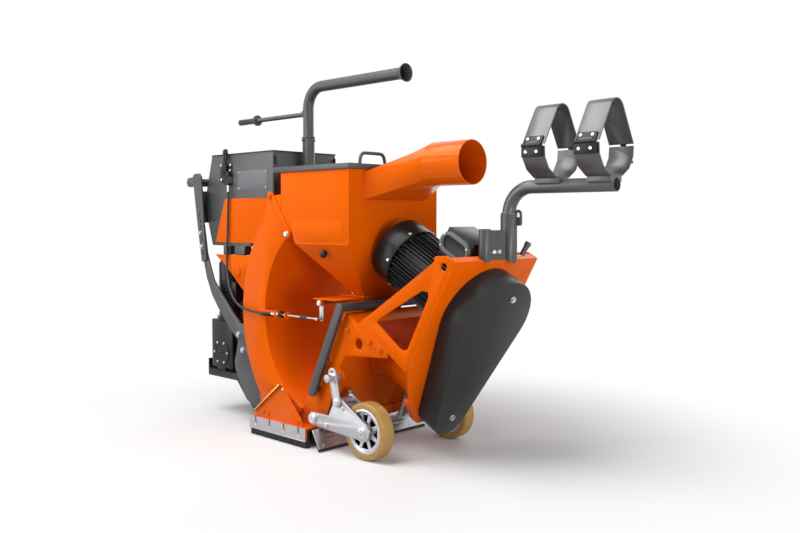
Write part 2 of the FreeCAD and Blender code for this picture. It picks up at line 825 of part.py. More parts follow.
def cable_wire(route):
    """Straight runs joined by arcs that touch both; the radii go to the console."""
    points = [FreeCAD.Vector(*spot) for spot in route]
    edges = []
    start = points[0]
    for before, corner, after in zip(points, points[1:], points[2:]):
        back, on = (before - corner).normalize(), (after - corner).normalize()
        turn = math.pi - back.getAngle(on)
        reach = 0.45 * min((before - corner).Length, (after - corner).Length)
        radius = reach / math.tan(turn / 2)
        middle = (back + on).normalize()
        first, last = corner + back * reach, corner + on * reach
        centre = corner + middle * math.hypot(radius, reach)
        top = centre - middle * radius
        edges.append(Part.LineSegment(start, first).toShape())
        edges.append(Part.Arc(first, top, last).toShape())
        print("cable bend radius %.0f, turn %.1f degrees" % (radius, math.degrees(turn)))
        start = last
    edges.append(Part.LineSegment(start, points[-1]).toShape())
    return Part.Wire(edges)


def bowden_cable():
    """The control cable's sheath, held at both ends."""
    radius = sheet_object.getContents("B%d" % ([row[0] for row in SIZES].index("cable_radius") + 1))
    radius = float(radius)
    wire = cable_wire(CABLE_ROUTE)
    start = FreeCAD.Vector(*CABLE_ROUTE[0])
    heading = FreeCAD.Vector(*CABLE_ROUTE[1]) - start
    ring = Part.Wire([Part.Circle(start, heading, radius).toShape()])
    thing = doc.addObject("Part::Feature", "bowden_cable")
    thing.Shape = wire.makePipeShell([ring], True, True)
    thing.Placement = FreeCAD.Placement(FreeCAD.Vector(d.datum_x.value, 0, 0), FreeCAD.Rotation())
    thing.Label = "bowden_cable"
    ideal = math.pi * radius ** 2 * wire.Length
    print("cable length %.0f, volume over ideal %.4f" % (wire.Length, thing.Shape.Volume / ideal))
    made.append(thing)


# ---------------------------------------------------------------- front frame and belt drive

def front_plate():
    """The leaning plate that carries the motor, with its top flange and the lip round its foot."""
    name = "front_plate"
    half, drop = d.frame_half, d.wheel_drop
    foot = [(131, 5 - drop), (112, -drop - 18), (60, -drop - 78), (45, -drop - 88)]
    edge = [(half, 0), (half, -409)] + foot
    mirror = [(-size(y), u) for y, u in reversed(edge)]
    face = slab(name + "_face", edge + mirror, -d.plate, 0, "YZ",
                holes=[(0, -d.motor_drop, d.shaft_hole), (0, -drop, d.shaft_hole)])
    inner = [(123, 15 - drop), (106, -drop - 6), (56, -drop - 68), (40, -drop - 78)]
    lip = foot + [(-y, u) for y, u in reversed(foot)]
    lip += [(-y, u) for y, u in inner]
    lip += [(y, u) for y, u in reversed(inner)]
    rim = slab(name + "_rim", lip, -d.flange_depth, -d.plate, "YZ")
    top = slab(name + "_top", [(PLATE_IN, 0), (PLATE_IN, -d.plate), (-PLATE_IN, -d.plate), (-PLATE_IN, 0)],
               -d.flange_depth, -d.plate, "YZ")
    finish_leaning(joined(name, face, rim, top), name)


def side_braces():
    """The two side plates behind the leaning plate, each with a window and a lifting eye."""
    name = "side_braces"
    outline = [(301, 688), (300, 699), (308, 706), (353, 708), from_plate(-d.plate, 0),
               from_plate(-d.plate, -423), (94, 377), (-52, 463.5), (-13, 486), (153, 591)]
    window = [(41, 476), (54, 489), (248, 594), (276, 590), (276, 572), (187, 401), (166, 393), (150, 397)]
    sides = []
    for label, side in SIDES:
        low, high = both(PLATE_IN, d.frame_half, side)
        plate = slab(name + "_plate_" + label, outline, low, high, holes=[(341, 673, 13)])
        hole = slab(name + "_window_" + label, window, low - 1, high + 1)
        sides.append(less(name + "_braced_" + label, plate, hole))
    finish(joined(name, *sides), name)


def belt_cover():
    name = "belt_cover"
    wall = d.cover_wall
    big, small = (0, -d.motor_drop), (0, -d.wheel_drop)
    outer = link(name + "_outer", big, d.cover_big, small, d.cover_small, 0, d.cover_depth, "YZ")
    inner = link(name + "_inner", big, d.cover_big - wall, small, d.cover_small - wall, -1,
                 d.cover_depth - wall, "YZ")
    finish_leaning(less(name, outer, inner), name)


def drive_belts():
    """Three belts over both pulleys."""
    name = "drive_belts"
    big, small = (0, -d.motor_drop), (0, -d.wheel_drop)
    inner, thick = d.gap, d.gap + d.belt_thick
    belts = []
    for index in range(3):
        low = d.pulley_rear + 5 + d.belt_pitch * index
        high = low + d.belt_width
        belts.append(less(name + "_%d" % index,
                          link(name + "_out_%d" % index, big, d.motor_pulley + thick, small,
                               d.spindle_pulley + thick,
                               low, high, "YZ"),
                          link(name + "_in_%d" % index, big, d.motor_pulley + inner, small,
                               d.spindle_pulley + inner,
                               low - 1, high + 1, "YZ")))
    finish_leaning(joined(name, *belts), name)


def motor_body():
    name = "motor_body"
    bore = d.motor_shaft + d.fit
    body = turned(name, [(d.motor_rear, bore), (d.motor_rear, d.motor_core), (d.motor_front, d.motor_core),
                         (d.motor_front, 125), (-d.plate, 125), (-d.plate, bore)])
    fins(body, name + "_fins", 28, 2, d.motor_core - 2, d.motor_fins, d.motor_rear, d.motor_front)
    finish_leaning(body, name, -d.motor_drop)


def motor_cowl():
    name = "motor_cowl"
    radius = d.cowl_radius
    body = turned(name, [(d.cowl_rear, 0), (d.cowl_rear, radius), (d.motor_rear, radius),
                         (d.motor_rear, 112),
                         (d.motor_rear - 10, 112), (d.motor_rear - 10, radius - 2),
                         (d.cowl_rear + 2, radius - 2),
                         (d.cowl_rear + 2, 0)])
    windows(body, name + "_grille", 16, [(-5, 40), (5, 40), (12, 100), (-12, 100)], d.cowl_rear - 1,
            d.cowl_rear + 3)
    finish_leaning(body, name, -d.motor_drop)


def motor_rotor():
    """The motor's shaft with its pulley in front and its fan behind."""
    name = "motor_rotor"
    shaft, pulley = d.motor_shaft, d.motor_pulley
    body = turned(name, [(-395, 0), (-395, 95), (-392, 95), (-392, shaft), (d.pulley_rear, shaft),
                         (d.pulley_rear, pulley), (d.pulley_front, pulley), (d.pulley_front, shaft),
                         (d.shaft_end, shaft), (d.shaft_end, 0)])
    fins(body, name + "_fan", 8, 2, shaft - 2, 92, -393, -345)
    finish_leaning(body, name, -d.motor_drop)


def terminal_box():
    """The box on the motor, with a raised oval cover rim on its near side."""
    name = "terminal_box"
    low = d.motor_fins + d.gap
    case = box(name + "_case", (-190, -66, low), (-66, 66, 215))
    rim = link(name + "_rim", (-157, 172), 36, (-98, 172), 36, -82, -65)
    recess = link(name + "_recess", (-157, 172), 25, (-98, 172), 25, -83, -72)
    gland = bar(name + "_gland", "z", 9, 214, 230, -80, 30)
    finish_leaning(joined(name, case, less(name + "_cover", rim, recess), gland), name, -d.motor_drop)


def bearing_block():
    """The tube between the front plate and the throw duct that carries the wheel's spindle."""
    name = "bearing_block"
    bore, flange = d.spindle_shaft + d.fit, d.bearing_flange
    body = turned(name, [(d.throat_front, bore), (d.throat_front, flange), (d.throat_front + 12, flange),
                         (d.throat_front + 12, 45), (-20, 45), (-20, flange), (-d.plate, flange),
                         (-d.plate, bore)])
    finish_leaning(body, name, -d.wheel_drop)


def wheel_spindle():
    name = "wheel_spindle"
    shaft, pulley = d.spindle_shaft, d.spindle_pulley
    body = turned(name, [(d.blast_rear - 2, 0), (d.blast_rear - 2, shaft), (d.pulley_rear, shaft),
                         (d.pulley_rear, pulley), (d.pulley_front, pulley), (d.pulley_front, shaft),
                         (d.shaft_end, shaft), (d.shaft_end, 0)])
    finish_leaning(body, name, -d.wheel_drop)


def blast_wheel():
    """Eight throwing blades on one disc."""
    name = "blast_wheel"
    bore, front, rear = d.spindle_shaft, d.blast_front, d.blast_rear
    body = turned(name, [(rear, bore), (rear, 36), (front - 6, 36), (front - 6, d.blast_radius),
                         (front, d.blast_radius), (front, bore)])
    fins(body, name + "_blades", 8, 4, 52, d.blast_radius - 1, rear, front - 5)
    finish_leaning(body, name, -d.wheel_drop)


def pins(name, parts, side):
    """The fork's pivot pin and the height clamp's pin, each with its shoulder and head."""
    def pin(label, radius, near, far, x, z):
        low, high = both(near, far, side)
        parts.append(bar("%s_%s_%d" % (name, label, side + 1), "y", radius, low, high, x, z))
    half = d.frame_half
    fork_in, fork_out = FORK_OUTER
    link_out = LINK_SIDES[1]
    pin("pivot_shoulder", 14, half, fork_in - d.gap, d.pivot_x, d.pivot_z)
    pin("pivot", d.pivot_radius, fork_in - 1, fork_out + 1, d.pivot_x, d.pivot_z)
    pin("pivot_head", 16, fork_out + d.gap, fork_out + 8, d.pivot_x, d.pivot_z)
    pin("clamp_shoulder", 13, half, fork_out, d.clamp_x, d.clamp_z)
    pin("clamp", d.clamp_radius, fork_out - 1, link_out + 1, d.clamp_x, d.clamp_z)
    pin("clamp_head", 14, link_out + d.gap, fork_out + 35, d.clamp_x, d.clamp_z)


def frame_bolts():
    """Hex bolts, cover bolts and the pins that carry the wheel forks."""
    name = "frame_bolts"
    parts = []
    for _, side in SIDES:
        pins(name, parts, side)
        low, high = both(d.frame_half, d.frame_half + 7, side)
        places = [(-215, 315), (-192, 325), (-196, 286), (60, 385), (10, 408), (-100, 440)]
        for index, (x, z) in enumerate(places):
            parts.append(bar("%s_hex_%d_%d" % (name, side + 1, index), "y", 8, low, high, x, z))
    for index, (y, u) in enumerate(((30, -95), (0, -574))):
        x, z = from_plate(d.cover_depth, u)
        head = doc.addObject("Part::Cylinder", "%s_cover_%d" % (name, index))
        head.Radius = 9
        head.Height = 6
        move_to(head, x, y, z, (LEAN, d.plate_tilt + 90))
        parts.append(head)
    finish(joined(name, *parts), name)


# ---------------------------------------------------------------- lift bar, skirts and brushes

def lift_bar():
    name = "lift_bar"
    half = d.frame_half + 18
    outer = box(name + "_across", (-126, -half, 502), (-98, half, 530))
    inner = box(name + "_hollow", (-123, 3 - half, 505), (-101, half - 3, 527))
    parts = [less(name + "_tube", outer, inner)]
    for label, side in SIDES:
        low, high = both(half - 2, half + 14, side)
        parts.append(link(name + "_leg_" + label, (-112, 516), 16.5, (-262, 201), 16.5, low, high))
        low, high = both(d.frame_half, half - 1, side)
        parts.append(bar(name + "_boss_" + label, "y", 13, low, high, -255, 215))
    finish(joined(name, *parts), name)


def one_skirt(name, side):
    """The braced flange and the metal strip that hold one side's brush."""
    edge = d.skirt_half
    parts = []

    def piece(tag, inner, outer, rear, front, low_z, high_z):
        low, high = both(inner, outer, side)
        parts.append(box("%s_%s" % (name, tag), (rear, low, low_z), (front, high, high_z)))
    piece("flange", d.frame_half, edge - 7, -594, -262, 66, 72)
    piece("holder", edge - 8, edge, -594, -262, 25, 72)
    piece("tie", d.hopper_half, edge - 13, -450, -400, 150, 156)
    for index in range(4):
        low, high = both(edge, edge + 4, side)
        parts.append(bar("%s_bolt_%d" % (name, index), "y", 6, low, high, -555 + 85 * index, 50))
    low, high = both(edge - 15, edge - 11, side)
    gusset = [(-566, 70), (-566, 99), (-416, 213), (-305, 105), (-291, 77), (-291, 70)]
    parts.append(slab(name + "_gusset", gusset, low, high))
    low, high = both(edge - 15, edge - 1, side)
    parts.append(slab(name + "_edge", [(-566, 99), (-416, 213), (-413.6, 209.8), (-563.6, 95.8)], low,
                      high))
    return joined(name, *parts)


def side_skirts():
    finish(joined("side_skirts", *[one_skirt("side_skirt_" + label, side) for label, side in SIDES]),
           "side_skirts")


def brushes():
    """Sealing brushes along both sides and the rear, and the rubber strip in front."""
    name = "brushes"
    parts = []
    for label, side in SIDES:
        low, high = both(d.skirt_half - 25, d.skirt_half - 8, side)
        parts.append(box(name + "_" + label, (-594, low, 0), (-262, high, 66)))
        low, high = both(d.skirt_half - 25, d.skirt_half, side)
        parts.append(box(name + "_foot_" + label, (-594, low, 0), (-262, high, 25)))
    parts.append(box(name + "_rear", (-604, -d.frame_half, 0), (d.base_rear, d.frame_half, 80)))
    strip = [(-198.4, 24), (-185.7, 2), (-190.5, 2), (-202.7, 21.5)]
    parts.append(slab(name + "_front", strip, -d.skirt_half, d.skirt_half))
    finish(joined(name, *parts), name)


def front_skirt():
    name = "front_skirt"
    half = d.skirt_half
    parts = [slab(name + "_flap", [(-225, 75), (-219.3, 75), (-186.2, 13), (-190.6, 10.6), (-225, 70)],
                  -half, half),
             box(name + "_flange", (d.base_front, -d.frame_half, 70), (-222, d.frame_half, 75))]
    strut = [(-186.3, 217), (-153, 213), (-148, 206), (-207.4, 52.7), (-211.7, 60.6), (-156.5, 203),
             (-160, 206.5), (-193, 205)]
    for label, side in SIDES:
        low, high = both(142, 160, side)
        parts.append(slab(name + "_strut_" + label, strut, low, high))
    finish(joined(name, *parts), name)


# ---------------------------------------------------------------- mast and hose carrier

def mast_socket():
    name = "mast_socket"
    x, y = d.mast_x, d.mast_y
    tube = bar(name + "_tube", "z", d.mast_socket, d.mast_low, d.mast_socket_top, x, y)
    foot = box(name + "_bracket", (x, y - 20, 920), (d.hopper_rear, y + 20, 985))
    bore = bar(name + "_bore", "z", d.mast_radius + d.fit, 900, 1150, x, y)
    screws = []
    for index, (dx, dy) in enumerate(((0, -1), (1, 0), (0, 1))):
        axis = "x" if dx else "y"
        start = (x + 22.5) if dx else (y + (22.5 if dy > 0 else -32))
        a, b = (y, 1131) if dx else (x, 1131)
        screws.append(bar("%s_screw_%d" % (name, index), axis, 5, start, start + 9.5, a, b))
    finish(less(name, joined(name + "_solid", tube, foot, *screws), bore), name)


def mast_tube():
    """The cable mast: an upright tube bent forward to a flared end, with a clamp block for the tiller."""
    name = "mast_tube"
    x, y, z = d.mast_x, d.mast_y, d.mast_z
    outer = elbow_bar(name + "_outer", d.mast_radius, x, y, d.mast_low, d.mast_bend, z, d.mast_end - 28)
    flare = cone(name + "_flare", "x", d.mast_radius, d.mast_flare, d.mast_end - 28, d.mast_end, y, z)
    inner = elbow_bar(name + "_inner", d.mast_bore, x, y, d.mast_low - 1, d.mast_bend, z, d.mast_end - 28)
    mouth = cone(name + "_mouth", "x", d.mast_bore, d.mast_flare - 2, d.mast_end - 28, d.mast_end, y, z)
    block = d.tiller_block
    boss = box(name + "_block", (x - block, y - 16, d.tiller_z - 13), (x, y + 16, d.tiller_z + 13))
    collar = bar(name + "_collar", "z", 26, d.mast_socket_top + d.gap, 1145, x, y)
    finish(less(name, joined(name + "_solid", outer, flare, boss, collar), inner, mouth), name)


def mast_tiller():
    """The bar that turns the mast, with a disc that guards the hand."""
    name = "mast_tiller"
    y, z = d.mast_y, d.tiller_z
    rod = bar(name + "_rod", "x", d.tiller_radius, d.tiller_end, d.mast_x - d.tiller_block, y, z)
    finish(joined(name, rod, bar(name + "_guard", "x", 22, -884, -876, y, z)), name)


def tiller_grip():
    name = "tiller_grip"
    y, z = d.mast_y, d.tiller_z
    sleeve = bar(name + "_sleeve", "x", d.tiller_grip, d.tiller_end - 4, -889, y, z)
    hole = bar(name + "_hole", "x", d.tiller_radius, d.tiller_end, -880, y, z)
    finish(less(name, sleeve, hole), name)


def carrier_socket():
    """Two upright tubes on the front plate's top edge, joined by a plate."""
    name = "carrier_socket"
    x, y = d.carrier_x, d.carrier_y
    solid = joined(name + "_solid",
                   bar(name + "_tube", "z", d.carrier_socket, 660, d.carrier_top, x, y),
                   bar(name + "_spare", "z", 19, 660, 790, x, -62),
                   box(name + "_web", (x - 6, -62, 660), (x + 6, y, 786)),
                   box(name + "_clip", (x + 20, y + 14, 800), (x + 34, y + 26, 828)))
    below = box(name + "_below", (0, 0, 0), (400, 400, 200))
    low_x, low_z = from_plate(-200, -200)
    move_to(below, low_x, -200, low_z, (LEAN, d.plate_tilt))
    bore = bar(name + "_bore", "z", d.carrier_radius + d.fit, 640, 850, x, y)
    hollow = bar(name + "_hollow", "z", 15, 640, 800, x, -62)
    finish(less(name, solid, below, bore, hollow), name)


def carrier_tube():
    """The hose carrier: an upright tube bent forward, with a saddle under each ring."""
    name = "carrier_tube"
    x, y, z = d.carrier_x, d.carrier_y, d.carrier_z
    outer = elbow_bar(name + "_outer", d.carrier_radius, x, y, 722, d.carrier_bend, z, d.carrier_end)
    inner = elbow_bar(name + "_inner", d.carrier_bore, x, y, 721, d.carrier_bend, z, d.carrier_end + 1)
    saddles = []
    for index, start in enumerate((d.ring_rear_x, d.ring_front_x)):
        saddles.append(box("%s_saddle_%d" % (name, index), (start, y - 30, z + 8),
                           (start + d.ring_width, y + 30, d.ring_low)))
    collar = bar(name + "_collar", "z", 27, d.carrier_top + d.gap, d.carrier_top + 7, x, y)
    finish(less(name, joined(name + "_solid", outer, collar, *saddles), inner), name)


def ring_lower(name, start):
    """One ring's lower half with its hinge pin and latch ears."""
    y = d.carrier_y
    outer = [(-100, d.ring_split), (-97, 1010), (-75, 975), (-36, d.ring_low), (36, d.ring_low), (75, 975),
             (97, 1010), (100, d.ring_split)]
    inner = [(96, d.ring_split), (93.1, 1011.3), (72.3, 978.2), (34.9, d.ring_low + 4),
             (-34.9, d.ring_low + 4),
             (-72.3, 978.2), (-93.1, 1011.3), (-96, d.ring_split)]
    band = slab(name + "_band", [(y + a, b) for a, b in outer + inner], start, start + d.ring_width, "YZ")
    hinge, z = y - d.ring_hinge, d.ring_hinge_z
    parts = [band, bar(name + "_pin", "x", d.ring_pin, start + 6, start + 78, hinge, z)]
    for index, (a, b) in enumerate(((6, 18.5), (65.5, 78))):
        parts.append(bar("%s_knuckle_%d" % (name, index), "x", 6, start + a, start + b, hinge, z))
        parts.append(box("%s_leaf_%d" % (name, index), (start + a, hinge - 1, 1012),
                         (start + b, y - 96, 1043)))
    ear_y = y + d.ring_hinge
    parts.append(bar(name + "_latch_pin", "x", d.latch_pin, start + 30, start + 56, ear_y, d.latch_z))
    for index, (a, b) in enumerate(((30, 34), (52, 56))):
        parts.append(box("%s_ear_%d" % (name, index), (start + a, y + 95, 1024),
                         (start + b, ear_y + 5, 1040)))
    return joined(name, *parts)


def rings_lower():
    finish(joined("rings_lower", ring_lower("ring_low_rear", d.ring_rear_x),
                  ring_lower("ring_low_front", d.ring_front_x)), "rings_lower")


def ring_upper(label, start):
    """One ring's upper half, hinged on its near side."""
    name = "ring_%s_upper" % label
    y, foot = d.carrier_y, d.ring_split + 6
    outer = [(y + 100, foot), (y + 35, 1162, 41.7, True), (y - 35, 1162), (y - 100, foot)]
    inner = [(y - 95.4, foot), (y - 31.5, 1160, 37.7, False), (y + 31.5, 1160), (y + 95.4, foot)]
    band = slab(name + "_band", outer + inner, start, start + d.ring_width, "YZ")
    hinge = (y - d.ring_hinge, d.ring_hinge_z)
    leaf = link(name + "_leaf", hinge, 6, (y - 95, 1060), 4, start + 19, start + 65, "YZ",
                holes=[(*hinge, d.ring_pin + d.fit)])
    lug = box(name + "_lug", (start + 36, y + 92, 1052), (start + 50, y + 103, 1066))
    finish(joined(name, band, leaf, lug), name)


def ring_latch(label, start):
    name = "ring_%s_latch" % label
    pivot = (d.carrier_y + d.ring_hinge, d.latch_z)
    low, high = start + 35, start + 51
    hand = link(name + "_hand", pivot, 6, (d.carrier_y + 152, 998), 4, low, high, "YZ")
    claw = link(name + "_claw", pivot, 6, (d.carrier_y + 109, 1064), 4, low, high, "YZ")
    hole = bar(name + "_hole", "x", d.latch_pin + d.fit, start + 20, start + 70, *pivot)
    finish(less(name, joined(name + "_plates", hand, claw), hole), name)


# ---------------------------------------------------------------- front wheels

def wheel_fork(label, side):
    """The swinging fork that carries one front wheel, with its axle."""
    name = "wheel_fork_" + label
    pivot, lug = (d.pivot_x, d.pivot_z), (d.lug_x, d.lug_z)
    axle = (0, d.wheel_radius)
    inside, outside = FORK_INNER[0], FORK_OUTER[1]
    low, high = both(*FORK_OUTER, side)
    parts = [link(name + "_arm", pivot, 24, axle, 30, low, high),
             link(name + "_outer", lug, 20, axle, 34, low, high),
             slab(name + "_gusset", [(-182, 108), (-141, 188), (-121, 186), axle], low, high)]
    low, high = both(*FORK_INNER, side)
    parts.append(link(name + "_inner", lug, 20, axle, 34, low, high))
    low, high = both(inside, outside, side)
    parts.append(bar(name + "_tube", "y", 13, low, high, *lug))
    low, high = both(inside - 7, outside + 13, side)
    parts.append(bar(name + "_axle", "y", d.axle_radius, low, high, *axle))
    low, high = both(outside, outside + 8, side)
    parts.append(bar(name + "_nut", "y", 15, low, high, *axle))
    low, high = both(inside - 5, outside + 15, side)
    holes = [bar(name + "_pivot_hole", "y", d.pivot_radius + d.fit, low, high, *pivot),
             bar(name + "_lug_hole", "y", d.lug_radius + d.fit, low, high, *lug)]
    finish(less(name, joined(name + "_solid", *parts), *holes), name)


def fork_link(label, side):
    """The slotted link that sets one wheel's height, with its pin in the fork."""
    name = "fork_link_" + label
    low, high = both(*LINK_SIDES, side)
    lug = (d.lug_x, d.lug_z)
    plate = link(name + "_plate", lug, 18, (-143, 284), 20, low, high)
    slot = link(name + "_slot", (-138, 261), 9, (-143.3, 284.5), 9, low - 1, high + 1)
    low, high = both(FORK_INNER[0] + 3, FORK_OUTER[1] + 13, side)
    pin = bar(name + "_pin", "y", d.lug_radius, low, high, *lug)
    finish(joined(name, less(name + "_slotted", plate, slot), pin), name)


def wheel(label, side):
    """A rim with eight windows, running on its axle."""
    name = "wheel_" + label
    bore, rim = d.axle_radius + d.fit, d.rim_radius
    out = d.wheel_half * side
    face, back = (d.wheel_half - 5) * side, (d.wheel_half - 17) * side
    body = turned(name, [(-out, bore), (-out, 22), (back, 24), (back, 64), (-out, 69), (-out, rim),
                         (out, rim), (out, 69), (face, 66), (face, 26), (out, 24), (out, bore)])
    low, high = both(d.wheel_half - 18, d.wheel_half - 4, side)
    windows(body, name + "_windows", 8, [(-6, 32), (6, 32), (17, 59), (-17, 59)], low, high)
    finish_wheel(body, name, 0, WHEEL_Y * side, d.wheel_radius)


def tyre(label, side):
    name = "tyre_" + label
    half, rim, outer = d.wheel_half, d.rim_radius, d.wheel_radius
    body = turned(name, [(-half, rim), (-half, outer - 5), (-half + 4, outer - 1), (-8, outer), (8, outer),
                         (half - 4, outer - 1), (half, outer - 5), (half, rim)])
    finish_wheel(body, name, 0, WHEEL_Y * side, d.wheel_radius)


# ---------------------------------------------------------------- control box and rear frame

def box_outline(inset):
    return [(-587 - inset, 1085 - inset), (-1003 + inset, 1085 - inset), (-1063 + inset, 885),
            (-1006 + inset, 712 + inset), (-739, 712 + inset), (-612 - inset, 880 + inset),
            (-587 - inset, 900)]


def control_box():
    name = "control_box"
    half = d.box_half
    shell = less(name + "_shell", slab(name + "_outer", box_outline(0), -half, half),
                 slab(name + "_inner", box_outline(3), -half + 3, half - 3),
                 box(name + "_cable_gap", (-900, -40, 700), (-850, 40, 720)))
    feet = []
    for label, side in SIDES:
        low, high = both(132, 168, side)
        feet.append(box(name + "_post_rear_" + label, (-916, low, 675), (-873, high, 712)))
        feet.append(box(name + "_post_front_" + label, (-838, low, 675), (-769, high, 712)))
    finish(joined(name, shell, *feet), name)


def box_panel():
    """Coloured side panels on the control box."""
    name = "box_panel"
    outline = [(-600, 905), (-902, 905, 11, True), (-913, 896), (-980, 725), (-739, 725), (-612, 880)]
    panels = []
    for label, side in SIDES:
        low, high = both(d.box_half, d.box_half + 3, side)
        panels.append(slab(name + "_" + label, outline, low, high))
    finish(joined(name, *panels), name)


def rear_gussets():
    """The two brackets that carry the control box behind the curved duct."""
    name = "rear_gussets"
    parts = []
    seat = d.duct_outer + d.gap
    outline = [(-970, 671), (-970, 675), (-659, 675, seat, True), (-702.3, 500), (-787, 539), (-896, 626)]
    for label, side in SIDES:
        low, high = both(d.box_half, d.box_half + 8, side)
        parts.append(slab(name + "_" + label, outline, low, high))
        low, high = both(168, 172, side)
        parts.append(bar(name + "_boss_" + label, "y", 30, low, high, -826, 613))
    finish(joined(name, *parts), name)


def chassis_arms():
    """The curved side arms behind the duct, which carry the handle."""
    name = "chassis_arms"
    seat = d.duct_outer + d.gap
    outline = [(-1033, 800), (-1062, 800), (-1065, 790), (-1036, 642), (-1013, 573), (-977, 505),
               (-935, 456),
               (-853, 377), (-795, 331), (-802, 296), (-819, 243), (-814, 210), (-791, 175), (-747, 107),
               (-691, 74),
               (-604.3, 74), (-604.3, 163.4, seat, False), (-699.1, 400), (-777, 400), (-828, 440),
               (-874, 484),
               (-921, 526), (-962, 566), (-994, 636), (-1011, 678)]
    parts = []
    for label, side in SIDES:
        low, high = both(d.arm_y, d.arm_y + d.arm_thick, side)
        parts.append(slab(name + "_plate_" + label, outline, low, high))
        low, high = both(d.arm_y + d.arm_thick, d.arm_y + d.arm_thick + 5, side)
        for index, (x, z) in enumerate(((-789, 355), (-761, 294))):
            parts.append(bar("%s_bolt_%s_%d" % (name, label, index), "y", 9, low, high, x, z))
    finish(joined(name, *parts), name)


def handle_frame():
    """The push handle: two side arms, a cross tube and a rear panel."""
    name = "handle_frame"
    outline = [(-1100, 1000), (-1090, 1012), (-1052, 1014), (-1038, 1000), (-1022, 800), (-1003, 650),
               (-1038, 642), (-1066, 790), (-1088, 926)]
    inner = d.arm_y + d.arm_thick + d.gap
    parts = [bar(name + "_tube", "y", d.handle_radius, -d.arm_y - 18, d.arm_y + 18, d.handle_x, d.handle_z)]
    for label, side in SIDES:
        low, high = both(inner, inner + 8, side)
        parts.append(slab(name + "_arm_" + label, outline, low, high))
        low, high = both(d.arm_y, inner + 8, side)
        parts.append(link(name + "_ear_" + label, (-1082, 985), 14, (d.handle_x, d.handle_z), 20, low,
                          high))
    panel = [(-1082.7, 940), (-1062, 806), (-1066, 806), (-1086.7, 940)]
    parts.append(slab(name + "_panel", panel, -(inner + 2), inner + 2))
    finish(joined(name, *parts), name)


def handle_grips():
    name = "handle_grips"
    grips = []
    for label, side in SIDES:
        low, high = both(40, 160, side)
        grips.append(pipe(name + "_" + label, "y", d.grip_radius, d.handle_radius, low, high, d.handle_x,
                          d.handle_z))
    finish(joined(name, *grips), name)


# ---------------------------------------------------------------- rear drive

def gear_motor():
    name = "gear_motor"
    x, y, foot = d.gear_x, d.gear_y, d.gear_z
    finish(joined(name, bar(name + "_can", "z", d.gear_radius, foot, 640, x, y),
                  bar(name + "_cap", "z", d.gear_radius - 6, 639, 655, x, y),
                  box(name + "_terminal", (x + 30, y - 30, 480), (x + 72, y + 30, 560))), name)


def drive_gearbox():
    name = "drive_gearbox"
    axle = (d.drive_x, d.wheel_radius)
    case = box(name + "_case", (-1021, -160, 199), (-870, -50, d.gear_z))
    leg = link(name + "_leg", (-953, 255), 70, axle, 45, -95, -50)
    feet = box(name + "_foot", (-1000, -150, d.rail_top), (-935, -130, 200))
    bore = bar(name + "_bore", "y", d.drive_axle + d.fit, -100, -40, *axle)
    finish(less(name, joined(name + "_solid", case, leg, feet), bore), name)


def drive_wheel():
    """The powered rear wheel with its axle."""
    name = "drive_wheel"
    half, outer = d.drive_half, d.wheel_radius
    body = turned(name, [(-98, 0), (-98, d.drive_axle), (-half, d.drive_axle), (-half, 70),
                         (-half, outer - 4),
                         (-half + 4, outer), (half - 4, outer), (half, outer - 4), (half, 70), (20, 62),
                         (20, 30),
                         (half, 30), (half, 0)])
    finish_wheel(body, name, d.drive_x, 0, d.wheel_radius)


def rear_tray():
    """The low tray behind, and the rails that tie it to the duct and the side arms."""
    name = "rear_tray"
    parts = [box(name + "_floor", (-1063, -150, d.rail_low), (-965, 150, d.rail_low + 6)),
             box(name + "_back", (-1063, -150, d.rail_low), (-1057, 150, 224))]
    rails = []
    for label, side in SIDES:
        low, high = both(130, 150, side)
        rails.append(box(name + "_rail_" + label, (-1060, low, d.rail_low), (-590, high, d.rail_top)))
        low, high = both(140, d.arm_y, side)
        rails.append(box(name + "_tie_" + label, (-770, low, d.rail_low), (-740, high, d.rail_top)))
    hug = bar(name + "_hug", "y", d.duct_outer + d.gap, -300, 300, d.duct_x, d.duct_z)
    parts.append(less(name + "_rails", joined(name + "_rail_set", *rails), hug))
    holes = [bar("%s_hole_%d" % (name, index), "x", 12, -1070, -1050, y, 200)
             for index, y in enumerate((-90, -30, 30, 90))]
    finish(less(name, joined(name + "_solid", *parts), *holes), name)


# ---------------------------------------------------------------- the machine

blast_housing()
wear_liner()
rebound_plenum()
hopper()
hopper_straps()
hopper_lid()
lid_handle()
dust_duct()
feed_pipe()
valve_flap()
valve_arm()
cable_rod()
lever_plate()
control_lever()
bowden_cable()
front_plate()
side_braces()
belt_cover()
drive_belts()
motor_body()
motor_cowl()
motor_rotor()
terminal_box()
bearing_block()
wheel_spindle()
blast_wheel()
frame_bolts()
lift_bar()
for label, side in SIDES:
    wheel_fork(label, side)
    fork_link(label, side)
    wheel(label, side)
    tyre(label, side)
side_skirts()
chassis_arms()
brushes()
front_skirt()
mast_socket()
mast_tube()
mast_tiller()
tiller_grip()
carrier_socket()
carrier_tube()
rings_lower()
for label, start in (("rear", d.ring_rear_x), ("front", d.ring_front_x)):
    ring_upper(label, start)
    ring_latch(label, start)
control_box()
box_panel()
rear_gussets()
handle_frame()
handle_grips()
gear_motor()
drive_gearbox()
drive_wheel()
rear_tray()

